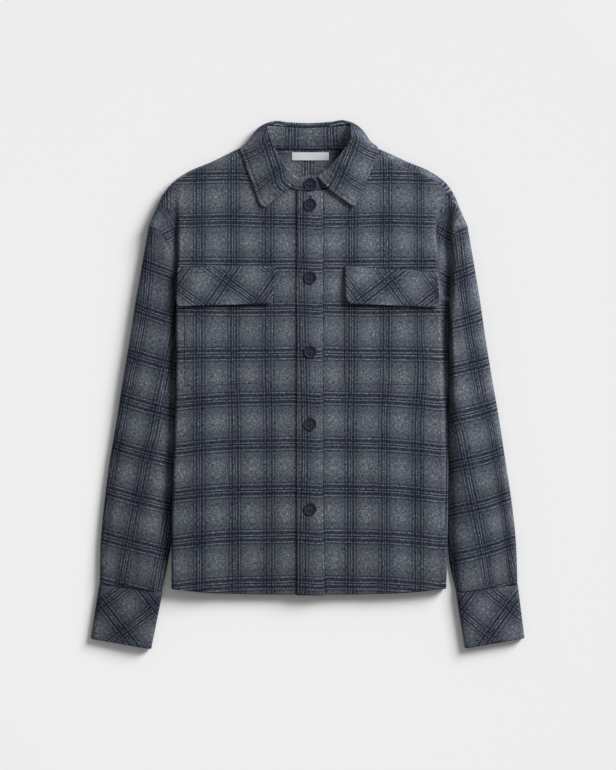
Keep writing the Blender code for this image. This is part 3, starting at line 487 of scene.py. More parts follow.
def plaid_rows(y: Array) -> Array:
    """Cloth length at a height on the body, where the weft bands are 63 mm apart.

    Args:
        y: Heights in the drawing.

    Returns:
        Millimetres of cloth, 0 at the topmost band's middle and falling below it.
    """
    drop = TOP_BAND_Y - np.asarray(y, dtype=float)
    root = np.sqrt(np.maximum(BAND_GAP**2 + 4 * BAND_GROWTH * drop, 1.0))
    return -WEFT_REPEAT * (root - BAND_GAP) / (2 * BAND_GROWTH)


def body_plaid(side: int, x: Array, y: Array) -> tuple[Array, Array]:
    """Cloth coordinates on the body, where bands sag towards the sides and groups lean in below.

    Args:
        side: Side of the picture.
        x: Places across, in the drawing.
        y: Places along, in the drawing.

    Returns:
        Millimetres out from the middle, and millimetres along.
    """
    reach = np.abs(x)
    # Bands: sag at the sides, a hitch up below the yoke, a slight bow over the chest
    sag = 7.0 * np.clip((reach - 88.0) / 80.0, 0.0, 1.2) ** 1.5 * ease((118.0 - y) / 190.0)
    hitch = 3.4 * bump((reach - 105.0) / 52.0) * ease((y - 150.0) / 55.0)
    bow = 1.6 * bump((reach - 90.0) / 60.0)
    # Warp groups: lean in towards the hem, on the viewer's right also beside the armhole
    lower = ease((20.0 - y) / 80.0)
    if side < 0:
        lean = 2.4 * bump((reach - 85.0) / 45.0) * lower
    else:
        lean = (1.4 + 2.4 * ease((reach - 60.0) / 90.0)) * lower
        lean = lean + 4.6 * ease((reach - 145.0) / 25.0) * ease((y - 20.0) / 60.0)
    along_cut = plaid_rows(y + sag - hitch) + bow
    return side * (x - CENTRE_X) + lean, along_cut


def shoulder_frame(side: int, shares: Array) -> tuple[Array, Array, Array]:
    """Edge of the shoulder, its outward direction and the depth of the yoke strip.

    Args:
        side: Side of the picture.
        shares: Shares from the dropped end to the neck.

    Returns:
        Edge points, outward directions and depths.
    """
    rows = along(SHOULDER[side], shares)
    run = along(SHOULDER[side], np.minimum(shares + 0.004, 1.0)) - along(
        SHOULDER[side], np.maximum(shares - 0.004, 0.0))
    run = run[..., :2] / np.linalg.norm(run[..., :2], axis=-1, keepdims=True)
    outward = np.stack([run[..., 1], -run[..., 0]], -1)
    return rows[..., :2], outward, rows[..., 2]


def shoulder_seam(side: int, shares: Array) -> Array:
    """Seam between front and yoke, in plan on the positive side."""
    edge, outward, depth = shoulder_frame(side, shares)
    return edge - outward * (depth + 2.0 * SEAM)[..., None]


def side_fold(side: int, y: Array) -> tuple[Array, Array, Array]:
    """Crown, rim and radius of the fold down the side of the body.

    Args:
        side: Side of the picture.
        y: Heights in the drawing.

    Returns:
        Distance of the crown, distance of the rim and radius.
    """
    row = read(BODY_SIDE[side], y)
    rim = row[..., 0]
    crown = rim - row[..., 1]
    top = front_height(side * crown, np.minimum(y, SEAM_RELEASE_Y))
    return crown, rim, (top - FLOOR) / 2.0


def armhole_line(side: int, shares: Array, outset: float) -> Array:
    """Armhole seam in plan, moved out towards the sleeve."""
    points = along(ARMHOLE[side], shares)
    return np.stack([side * (points[..., 0] + outset), points[..., 1] - 0.35 * outset], -1)


def arc_lengths(grid: Array, axis: int) -> Array:
    """Running length over a grid along one of its directions."""
    steps = np.linalg.norm(np.diff(grid, axis=axis), axis=2)
    first = np.zeros_like(np.take(steps, [0], axis=axis))
    return np.concatenate([first, np.cumsum(steps, axis=axis)], axis=axis)


def grid_area(grid: Array, closed: bool) -> float:
    """Area of a grid of points, in its own unit."""
    if closed:
        grid = np.concatenate([grid, grid[:, :1]], axis=1)
    a = grid[1:, 1:] - grid[:-1, :-1]
    b = grid[1:, :-1] - grid[:-1, 1:]
    return float(0.5 * np.linalg.norm(np.cross(a, b), axis=2).sum())


@dataclass
class Cloth:
    """One cut piece of cloth: a grid of middle points with its cloth coordinates."""

    name: str
    node: str
    grid: Array
    cut: Array
    wall: float
    closed: bool = False
    rounded: float = 0.8
    level: bool = False
    rests_on: tuple[str, ...] = ()
    held: str = "laid"
    slot: str = PLAID
    # Rows of stitching: edge, distance in from it, how deep the seam is pressed
    seams: tuple[tuple[str, float, float], ...] = ()
    seam_width: float = 1.1

    def normals(self) -> Array:
        """Unit normals of the grid."""
        if self.closed:
            around = np.roll(self.grid, -1, axis=1) - np.roll(self.grid, 1, axis=1)
        else:
            around = np.gradient(self.grid, axis=1)
        down = np.gradient(self.grid, axis=0)
        normals = np.cross(around, down)
        normals /= np.maximum(np.linalg.norm(normals, axis=2, keepdims=True), 1e-9)
        if self.level:
            normals[:] = (0.0, 0.0, np.sign(normals[..., 2].sum()))
        return normals

    def facing(self) -> Array:
        """Unit normals that point out of the piece's visible face."""
        normals = self.normals()
        highest = np.unravel_index(self.grid[..., 2].argmax(), self.grid.shape[:2])
        return normals * (1.0 if normals[highest][2] > 0.0 else -1.0)

    def from_edge(self, edge: str, values: Array) -> Array:
        """Turn a grid so that an edge is its first row."""
        if edge.endswith("column"):
            values = values.swapaxes(0, 1)
        return values[::-1] if edge.startswith("last") else values

    def press(self) -> None:
        """Press the cloth in along its rows of stitching."""
        facing = self.facing()
        sunk = self.grid.copy()
        for edge, distance, depth in self.seams:
            lengths = arc_lengths(self.from_edge(edge, self.grid), 0)
            pressed = depth * bump((lengths - distance) / self.seam_width)
            dip = self.from_edge(edge, facing) * pressed[..., None]
            turned_view = self.from_edge(edge, sunk)
            turned_view -= dip
        self.grid = sunk

    def seam_line(self, edge: str, distance: float) -> tuple[Array, Array]:
        """Line of a row of stitching on the visible face.

        Args:
            edge: Edge of the grid.
            distance: Millimetres in from it.

        Returns:
            Points and the directions out of the cloth.
        """
        grid = self.from_edge(edge, self.grid)
        facing = self.from_edge(edge, self.facing())
        lengths = arc_lengths(grid, 0)
        index = np.clip((lengths < distance).sum(0) - 1, 0, len(grid) - 2)
        spots = np.arange(grid.shape[1])
        near = lengths[index, spots]
        share = ((distance - near) / (lengths[index + 1, spots] - near))[:, None]
        line = grid[index, spots] * (1.0 - share) + grid[index + 1, spots] * share
        out = facing[index, spots]
        return line + out * self.wall / 2, out

    def border(self) -> list[list[int]]:
        """Loops of grid indices round the open edges, in the top skin's order."""
        rows, columns = self.grid.shape[:2]
        index = np.arange(rows * columns).reshape(rows, columns)
        if self.closed:
            return [list(index[0]), list(index[-1][::-1])]
        loop = list(index[0, :-1]) + list(index[:-1, -1]) + list(index[-1, :0:-1]) + list(index[:0:-1, 0])
        return [loop]

    def outward(self) -> Array:
        """Direction away from the cloth at each point of its edge, in its surface."""
        out = np.zeros_like(self.grid)
        out[0] += self.grid[0] - self.grid[1]
        out[-1] += self.grid[-1] - self.grid[-2]
        unit = out / np.maximum(np.linalg.norm(out, axis=2, keepdims=True), 1e-9)
        if not self.closed:
            across = np.zeros_like(self.grid)
            across[:, 0] = self.grid[:, 0] - self.grid[:, 1]
            across[:, -1] = self.grid[:, -1] - self.grid[:, -2]
            unit += across / np.maximum(np.linalg.norm(across, axis=2, keepdims=True), 1e-9)
        return unit / np.maximum(np.linalg.norm(unit, axis=2, keepdims=True), 1e-9)

    def build(self) -> bpy.types.Object:
        """Make the closed shell of the piece.

        Returns:
            The piece's object, at the origin.
        """
        self.press()
        rows, columns = self.grid.shape[:2]
        size = rows * columns
        normals = self.normals()
        top = (self.grid + normals * self.wall / 2).reshape(-1, 3)
        low = (self.grid - normals * self.wall / 2).reshape(-1, 3)
        rim_at = self.grid.reshape(-1, 3) + self.outward().reshape(-1, 3) * self.wall / 2 * self.rounded
        spans = columns if self.closed else columns - 1
        r, c = np.meshgrid(np.arange(rows - 1), np.arange(spans), indexing="ij")
        n = (c + 1) % columns
        quads = np.stack([r * columns + c, r * columns + n, (r + 1) * columns + n, (r + 1) * columns + c], -1)
        quads = quads.reshape(-1, 4)
        faces = [quads, quads[:, ::-1] + size]
        rim_points = []
        rim_source = []
        for loop in self.border():
            a = np.array(loop)
            b = np.roll(a, -1)
            first = 2 * size + len(rim_source)
            ra = first + np.arange(len(a))
            rb = first + (np.arange(len(a)) + 1) % len(a)
            rim_points.append(rim_at[a])
            rim_source.extend(loop)
            faces.append(np.stack([b, a, ra, rb], -1))
            faces.append(np.stack([rb, ra, a + size, b + size], -1))
        points = np.concatenate([top, low] + rim_points)
        points[:, 2] = np.maximum(points[:, 2], 0.0)
        faces = np.concatenate(faces)
        corners = points[faces]
        volume = np.einsum("ij,ij->i", corners[:, 0], np.cross(corners[:, 1], corners[:, 2])).sum()
        volume += np.einsum("ij,ij->i", corners[:, 0], np.cross(corners[:, 2], corners[:, 3])).sum()
        plain = self.cut[:, :columns].reshape(-1, 2)
        corners_cut = np.concatenate([plain, plain, plain[np.array(rim_source)]])[faces]
        if self.closed:
            wrap = (c == columns - 1).reshape(-1)
            last = self.cut[:, columns]
            corners_cut[:len(quads)][wrap] = np.stack([self.cut[:-1, columns - 1], last[:-1], last[1:],
                                                       self.cut[1:, columns - 1]], 1)
            corners_cut[len(quads):2 * len(quads)][wrap] = corners_cut[:len(quads)][wrap][:, ::-1]
        if volume < 0.0:
            faces = faces[:, ::-1]
            corners_cut = corners_cut[:, ::-1]
        return make_object(self.name, points, faces, corners_cut)

    def declare(self, piece: bpy.types.Object) -> None:
        area = grid_area(self.grid, self.closed) * MM * MM
        width = float(arc_lengths(self.grid, 1)[:, -1].max()) * MM
        if self.closed:
            width += float(np.linalg.norm(self.grid[:, 0] - self.grid[:, -1], axis=1).max()) * MM
        length = float(arc_lengths(self.grid, 0)[-1].max()) * MM
        area = min(area, width * length)
        LOG.info("%s: cut %.0f x %.0f mm, %.0f sq cm", self.name, width / MM, length / MM, area * 1e4)


def make_object(name: str, points: Array, faces: Array, cut: Optional[Array] = None) -> bpy.types.Object:
    """Make a smooth mesh object out of arrays.

    Args:
        name: Name of the piece.
        points: Points in millimetres of the drawing.
        faces: Corner indices, four a face.
        cut: Cloth coordinates of each face's corners in millimetres, for the UV map.

    Returns:
        The object, linked, at the origin.
    """
    mesh = bpy.data.meshes.new(name)
    mesh.from_pydata(((points + OFFSET) * MM).tolist(), [], faces.tolist())
    if cut is not None:
        layer = mesh.uv_layers.new(name="cut")
        layer.data.foreach_set("uv", (cut * MM).astype(np.float32).ravel())
    mesh.shade_smooth()
    mesh.update()
    piece = bpy.data.objects.new(name, mesh)
    bpy.context.scene.collection.objects.link(piece)
    return piece


def linear(code: str) -> tuple[float, float, float, float]:
    """Linear colour of an sRGB hex value.

    Args:
        code: Six hex digits.

    Returns:
        Red, green, blue and alpha.
    """
    parts = [int(code[i:i + 2], 16) / 255.0 for i in (0, 2, 4)]
    straight = [p / 12.92 if p <= 0.04045 else ((p + 0.055) / 1.055) ** 2.4 for p in parts]
    return (*straight, 1.0)


def add_node(tree: bpy.types.NodeTree, kind: str, settings: Optional[dict] = None,
             inputs: Optional[dict] = None) -> bpy.types.Node:
    """Add a node with its settings, values and links.

    Args:
        tree: Node tree of the material.
        kind: Type name of the node.
        settings: Properties of the node.
        inputs: Values or sockets for its inputs, by name or number.

    Returns:
        The node.
    """
    node = tree.nodes.new(kind)
    for name, value in (settings or {}).items():
        setattr(node, name, value)
    for name, value in (inputs or {}).items():
        if isinstance(value, bpy.types.NodeSocket):
            tree.links.new(value, node.inputs[name])
        else:
            node.inputs[name].default_value = value
    return node


def new_material(name: str) -> tuple[bpy.types.Material, bpy.types.NodeTree]:
    """An empty node material."""
    material = bpy.data.materials.new(name)
    material.use_nodes = True
    material.node_tree.nodes.clear()
    return material, material.node_tree


@dataclass(frozen=True)
class Flannel:
    """Brushed cotton flannel, yarn-dyed in a plaid and napped on both faces."""

    name: str
    navy: str = "0E1424"
    ground: str = "585D66"
    pale: str = "888C92"
    ground_at: float = 0.62
    # Painted light falloff, standing in for the lamp's light: how much brighter the colour gets along each
    # axis a metre, and its share at the origin
    lamp_falloff: tuple = (0.38, 0.30, 0.0)
    lamp_falloff_level: float = 0.965
    # Slubs of melange yarn about 1 by 5 mm, both ways, flecks of the nap and soft clouds: noise, strength
    slubs: tuple = (((820.0, 210.0, 1.0), 1.7), ((210.0, 820.0, 1.0), 1.7),
                    ((1000.0, 1000.0, 1.0), 1.3), ((26.0, 21.0, 1.0), 0.45))
    # Distance in millimetres from the middle of a group, and depth of navy there
    warp_chart: tuple = ((0.0, 0.86), (0.6, 0.78), (1.0, 0.04), (2.0, 0.06), (2.5, 0.76), (4.8, 0.76),
                         (5.4, 0.12), (6.6, 0.12), (7.1, 0.70), (8.2, 0.62), (9.1, 0.24), (13.0, 0.18),
                         (17.0, 0.10), (21.0, 0.03), (24.15, 0.0))
    weft_chart: tuple = ((0.0, 0.92), (0.7, 0.86), (1.2, 0.00), (2.3, 0.02), (2.9, 0.76), (6.6, 0.76),
                         (7.2, 0.00), (8.5, 0.02), (9.1, 0.72), (10.4, 0.64), (11.2, 0.28), (13.5, 0.24),
                         (16.0, 0.27), (18.6, 0.25), (20.5, 0.10), (24.0, 0.05), (31.5, 0.0))
    # The charts go past 1, so the ramps hold them divided by this
    headroom: float = 1.3

    def chart(self, tree: bpy.types.NodeTree, place: bpy.types.NodeSocket, repeat: float,
              rows: tuple) -> bpy.types.NodeSocket:
        """Share of ground across one direction of the plaid.

        Args:
            tree: Node tree of the material.
            place: Cloth coordinate in metres.
            repeat: Repeat of the plaid in millimetres.
            rows: Distances and depths.

        Returns:
            Share of the ground left, over the headroom.
        """
        half = repeat / 2
        fold = add_node(tree, "ShaderNodeMath", {"operation": "PINGPONG"}, {0: place, 1: half * MM})
        share = add_node(tree, "ShaderNodeMath", {"operation": "DIVIDE"}, {0: fold.outputs[0], 1: half * MM})
        ramp = add_node(tree, "ShaderNodeValToRGB", None, {0: share.outputs[0]})
        stops = ramp.color_ramp.elements
        for row in rows[1:-1]:
            stops.new(row[0] / half)
        for stop, (position, depth) in zip(stops, rows):
            stop.position = position / half
            level = (1.0 - depth) / self.headroom
            stop.color = (level, level, level, 1.0)
        return ramp.outputs[0]

    def make(self) -> bpy.types.Material:
        """Build the material.

        Returns:
            The material.
        """
        material, tree = new_material(self.name)
        place = add_node(tree, "ShaderNodeUVMap", {"uv_map": "cut"}).outputs[0]
        wander = add_node(tree, "ShaderNodeTexNoise", {"noise_dimensions": "2D"},
                          {"Vector": place, "Scale": 60.0, "Detail": 2.0})
        nudge = add_node(tree, "ShaderNodeVectorMath", {"operation": "MULTIPLY_ADD"},
                         {0: wander.outputs["Color"], 1: (0.0011, 0.0011, 0.0), 2: place})
        split = add_node(tree, "ShaderNodeSeparateXYZ", None, {0: nudge.outputs[0]})
        warp = self.chart(tree, split.outputs[0], WARP_REPEAT, self.warp_chart)
        weft = self.chart(tree, split.outputs[1], WEFT_REPEAT, self.weft_chart)
        both = add_node(tree, "ShaderNodeMath", {"operation": "MULTIPLY"}, {0: warp, 1: weft})
        grain = None
        for stretch, amount in self.slubs:
            scaled = add_node(tree, "ShaderNodeVectorMath", {"operation": "MULTIPLY"}, {0: place, 1: stretch})
            fleck = add_node(tree, "ShaderNodeTexNoise", {"noise_dimensions": "2D"},
                             {"Vector": scaled.outputs[0], "Scale": 1.0, "Detail": 1.0, "Roughness": 0.5})
            share = add_node(tree, "ShaderNodeMath", {"operation": "MULTIPLY_ADD"},
                             {0: fleck.outputs["Fac"], 1: amount, 2: -amount / 2})
            if grain is not None:
                share = add_node(tree, "ShaderNodeMath", {"operation": "ADD"},
                                 {0: share.outputs[0], 1: grain.outputs[0]})
            grain = share
        bright = add_node(tree, "ShaderNodeMath", {"operation": "MULTIPLY_ADD"},
                          {0: both.outputs[0], 1: 0.62 * self.headroom**2, 2: 0.0})
        swing = add_node(tree, "ShaderNodeMath", {"operation": "MULTIPLY_ADD"},
                         {0: both.outputs[0], 1: 0.4 * self.headroom**2, 2: 0.16})
        light = add_node(tree, "ShaderNodeMath", {"operation": "MULTIPLY_ADD"},
                         {0: swing.outputs[0], 1: grain.outputs[0], 2: bright.outputs[0]})
        ramp = add_node(tree, "ShaderNodeValToRGB", None, {0: light.outputs[0]})
        stops = ramp.color_ramp.elements
        stops.new(self.ground_at)
        for stop, code in zip(stops, (self.navy, self.ground, self.pale)):
            stop.color = linear(code)
        # Painted light and shade: the colour is painted brighter towards the lamp, and darker towards the hem
        # and the wearer's right
        spot = add_node(tree, "ShaderNodeTexCoord").outputs["Object"]
        lean = add_node(tree, "ShaderNodeVectorMath", {"operation": "DOT_PRODUCT"}, {0: spot, 1: self.lamp_falloff})
        painted_falloff = add_node(tree, "ShaderNodeMath", {"operation": "ADD"},
                        {0: lean.outputs["Value"], 1: self.lamp_falloff_level})
        colour = add_node(tree, "ShaderNodeVectorMath", {"operation": "SCALE"},
                          {0: ramp.outputs[0], "Scale": painted_falloff.outputs[0]})
        # Twill weave, 1.2 mm apart: the real 0.4 mm rib is too fine to show
        twill = add_node(tree, "ShaderNodeTexWave", {"wave_type": "BANDS", "bands_direction": "DIAGONAL"},
                         {"Vector": place, "Scale": 260.0, "Distortion": 1.5, "Detail": 1.0})
        relief = add_node(tree, "ShaderNodeMath", {"operation": "MULTIPLY_ADD"},
                          {0: twill.outputs["Fac"], 1: 0.35, 2: grain.outputs[0]})
        rise = add_node(tree, "ShaderNodeBump", None,
                        {"Height": relief.outputs[0], "Strength": 0.35, "Distance": 0.0004})
        shader = add_node(tree, "ShaderNodeBsdfPrincipled", None, {
            "Base Color": colour.outputs[0], "Roughness": 0.94, "Specular IOR Level": 0.10,
            "Sheen Weight": 0.07, "Sheen Roughness": 0.5, "Sheen Tint": linear("AEB4C2"),
            "Normal": rise.outputs[0]})
        add_node(tree, "ShaderNodeOutputMaterial", None, {"Surface": shader.outputs[0]})
        return material


@dataclass(frozen=True)
class Textured:
    """A finish whose fine texture tints the colour and lifts the surface."""

    name: str = "plain"
    deep: str = "000000"
    lit: str = "FFFFFF"
    texture: str = "ShaderNodeTexNoise"
    settings: tuple = ()
    pattern: tuple = ()
    # Strength and distance of the relief, none when empty
    relief: tuple = ()
    surface: tuple = ()

    def make(self) -> bpy.types.Material:
        """Build the material."""
        material, tree = new_material(self.name)
        place = add_node(tree, "ShaderNodeTexCoord").outputs["Object"]
        grain = add_node(tree, self.texture, dict(self.settings), {"Vector": place, **dict(self.pattern)})
        ramp = add_node(tree, "ShaderNodeValToRGB", None, {0: grain.outputs["Fac"]})
        for stop, code in zip(ramp.color_ramp.elements, (self.deep, self.lit)):
            stop.color = linear(code)
        shader = add_node(tree, "ShaderNodeBsdfPrincipled", None,
                          {"Base Color": ramp.outputs[0], **dict(self.surface)})
        if self.relief:
            strength, distance = self.relief
            rise = add_node(tree, "ShaderNodeBump", None,
                            {"Height": grain.outputs["Fac"], "Strength": strength, "Distance": distance})
            tree.links.new(rise.outputs[0], shader.inputs["Normal"])
        add_node(tree, "ShaderNodeOutputMaterial", None, {"Surface": shader.outputs[0]})
        return material


@dataclass(frozen=True)
class Resin(Textured):
    """Polyester button resin, turned and tumbled to a low gloss: dark navy with faint clouds."""

    name: str = "button_resin"
    deep: str = "151A26"
    lit: str = "1E2534"
    pattern: tuple = (("Scale", 220.0), ("Detail", 3.0))
    relief: tuple = (0.2, 0.0003)
    surface: tuple = (("Roughness", 0.62), ("Specular IOR Level", 0.22))


@dataclass(frozen=True)
class Satin(Textured):
    """Woven label satin, white polyester: a soft sheen with a fine rib across."""

    name: str = "white_satin"
    deep: str = "B6B7BA"
    lit: str = "CBCCCF"
    texture: str = "ShaderNodeTexWave"
    settings: tuple = (("wave_type", "BANDS"), ("bands_direction", "Y"))
    pattern: tuple = (("Scale", 420.0), ("Distortion", 0.4))
    relief: tuple = (0.25, 0.0002)
    surface: tuple = (("Roughness", 0.45), ("Sheen Weight", 0.2))


@dataclass(frozen=True)
class Thread(Textured):
    """Spun polyester sewing thread, navy: matt with a fuzz of loose fibres."""

    name: str = "navy_thread"
    deep: str = "2A2F3B"
    lit: str = "4C5260"
    pattern: tuple = (("Scale", 1800.0), ("Detail", 2.0))
    surface: tuple = (("Roughness", 0.7), ("Sheen Weight", 0.3))


@dataclass(frozen=True)
class Paper:
    """Seamless studio paper, pale and matt, a little greyer towards the lamp so that it shows even."""

    name: str = "studio_paper"
    near: str = "DADADA"
    far: str = "F8F8F8"
    reach: float = 0.6
    towards_lamp: tuple[float, float, float] = (0.77, 0.64, 0.0)

    def make(self) -> bpy.types.Material:
        """Build the material."""
        material, tree = new_material(self.name)
        place = add_node(tree, "ShaderNodeTexCoord").outputs["Object"]
        away = add_node(tree, "ShaderNodeVectorMath", {"operation": "DOT_PRODUCT"},
                        {0: place, 1: self.towards_lamp})
        sweep = add_node(tree, "ShaderNodeMapRange", None, {
            "Value": away.outputs["Value"], "From Min": -self.reach, "From Max": self.reach})
        ramp = add_node(tree, "ShaderNodeMix", {"data_type": "RGBA"}, {0: sweep.outputs[0]})
        ramp.inputs[6].default_value = linear(self.far)
        ramp.inputs[7].default_value = linear(self.near)
        shader = add_node(tree, "ShaderNodeBsdfPrincipled", None, {
            "Base Color": ramp.outputs[2], "Roughness": 0.95, "Specular IOR Level": 0.1})
        add_node(tree, "ShaderNodeOutputMaterial", None, {"Surface": shader.outputs[0]})
        return material


@dataclass
class Finishes:
    """The finishes of the garment: the material of each slot, and the threads."""

    slots: dict[str, bpy.types.Material]
    thread: bpy.types.Material
    buttonhole: bpy.types.Material
    bar: bpy.types.Material


def seat(piece: bpy.types.Object, material: bpy.types.Material) -> None:
    """Dress a piece and let it ride on the garment.

    Args:
        piece: The piece.
        material: Its finish.
    """
    piece.data.materials.append(material)
    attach(piece, "root")


@dataclass
class Sewing:
    """Stitches: rows of lockstitch on a piece of cloth, or single ones laid in given frames."""

    length: float = 2.5
    pitch: float = 3.1
    radius: float = 0.3
    sides: int = 6
    # Ends of a stitch sink this deep, and rows stop this short of an edge without a row
    sink: float = 0.12
    margin: float = 0.6
    # Stretch of the row either way that gives a stitch its direction
    feel: float = 0.8
    # Rings of a stitch: place along it, share of the radius
    rings: tuple = ((-0.5, 0.35), (-0.36, 1.0), (0.36, 1.0), (0.5, 0.35))

    def stitch(self) -> tuple[Array, Array]:
        """One stitch along its first axis, half sunk in the cloth.

        Returns:
            Points and faces.
        """
        points = []
        for place, thick in self.rings:
            for i in range(self.sides):
                angle = 2.0 * math.pi * i / self.sides
                points.append((place * self.length, thick * self.radius * math.cos(angle),
                               thick * self.radius * math.sin(angle) - self.sink * abs(place) * 2.0))
        faces = []
        for ring in range(len(self.rings) - 1):
            for i in range(self.sides):
                n = (i + 1) % self.sides
                a = ring * self.sides
                faces.append((a + i, a + n, a + self.sides + n, a + self.sides + i))
        return np.array(points), np.array(faces)

    def places(self, line: Array, out: Array, closed: bool, trim: tuple[float, float]) -> Array:
        """Frames of the stitches along a line.

        Args:
            line: Points of the line.
            out: Directions out of the cloth.
            closed: Whether the line runs round.
            trim: Lengths left out at both ends.

        Returns:
            Middle, run, side and out direction of each stitch.
        """
        if closed:
            line = np.concatenate([line, line[:1]])
            out = np.concatenate([out, out[:1]])
        at = np.concatenate([[0.0], np.cumsum(np.linalg.norm(np.diff(line, axis=0), axis=1))])
        middles = np.arange(trim[0] + self.pitch / 2, at[-1] - trim[1] - self.pitch / 2, self.pitch)

        def spot(places: Array, values: Array) -> Array:
            """Values at lengths along the row."""
            return np.stack([np.interp(places, at, values[:, axis]) for axis in range(3)], -1)

        run = spot(middles + self.feel, line) - spot(middles - self.feel, line)
        run /= np.linalg.norm(run, axis=1, keepdims=True)
        up = spot(middles, out)
        up -= run * (up * run).sum(1, keepdims=True)
        up /= np.linalg.norm(up, axis=1, keepdims=True)
        return np.stack([spot(middles, line), run, np.cross(up, run), up], 1)

    def lay(self, frames: Array, name: str) -> bpy.types.Object:
        """Lay stitches in their frames.

        Args:
            frames: Middle, run, side and out direction of each stitch.
            name: Name of the piece.

        Returns:
            The object.
        """
        points, faces = self.stitch()
        placed = frames[:, None, 0] + np.einsum("pk,fkc->fpc", points, frames[:, 1:])
        count = len(points)
        every = faces[None] + np.arange(len(frames))[:, None, None] * count
        return make_object(name, placed.reshape(-1, 3), every.reshape(-1, 4))

    def build(self, cloth: Cloth) -> bpy.types.Object:
        """Sew all rows of a piece.

        Args:
            cloth: The piece.

        Returns:
            The object.
        """
        known = {seam[0]: seam[1] for seam in cloth.seams}
        frames = []
        for edge, distance in known.items():
            line, out = cloth.seam_line(edge, distance)
            kinds = ("first_row", "last_row") if edge.endswith("column") else ("first_column", "last_column")
            trim = tuple(known.get(kind, self.margin) for kind in kinds)
            frames.append(self.places(line, out, cloth.closed and edge.endswith("row"), trim))
        return self.lay(np.concatenate(frames), cloth.name.replace("_cloth", "_sewing"))


@dataclass
class Assembly:
    """A sub-assembly of cloth pieces."""

    finishes: Finishes
    cloths: list[Cloth] = field(default_factory=list)

    def dress(self) -> None:
        for cloth in self.cloths:
            piece = cloth.build()
            seat(piece, self.finishes.slots[cloth.slot])
            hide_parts(cloth.node)
            cloth.declare(piece)
            if cloth.seams:
                seat(Sewing().build(cloth), self.finishes.thread)


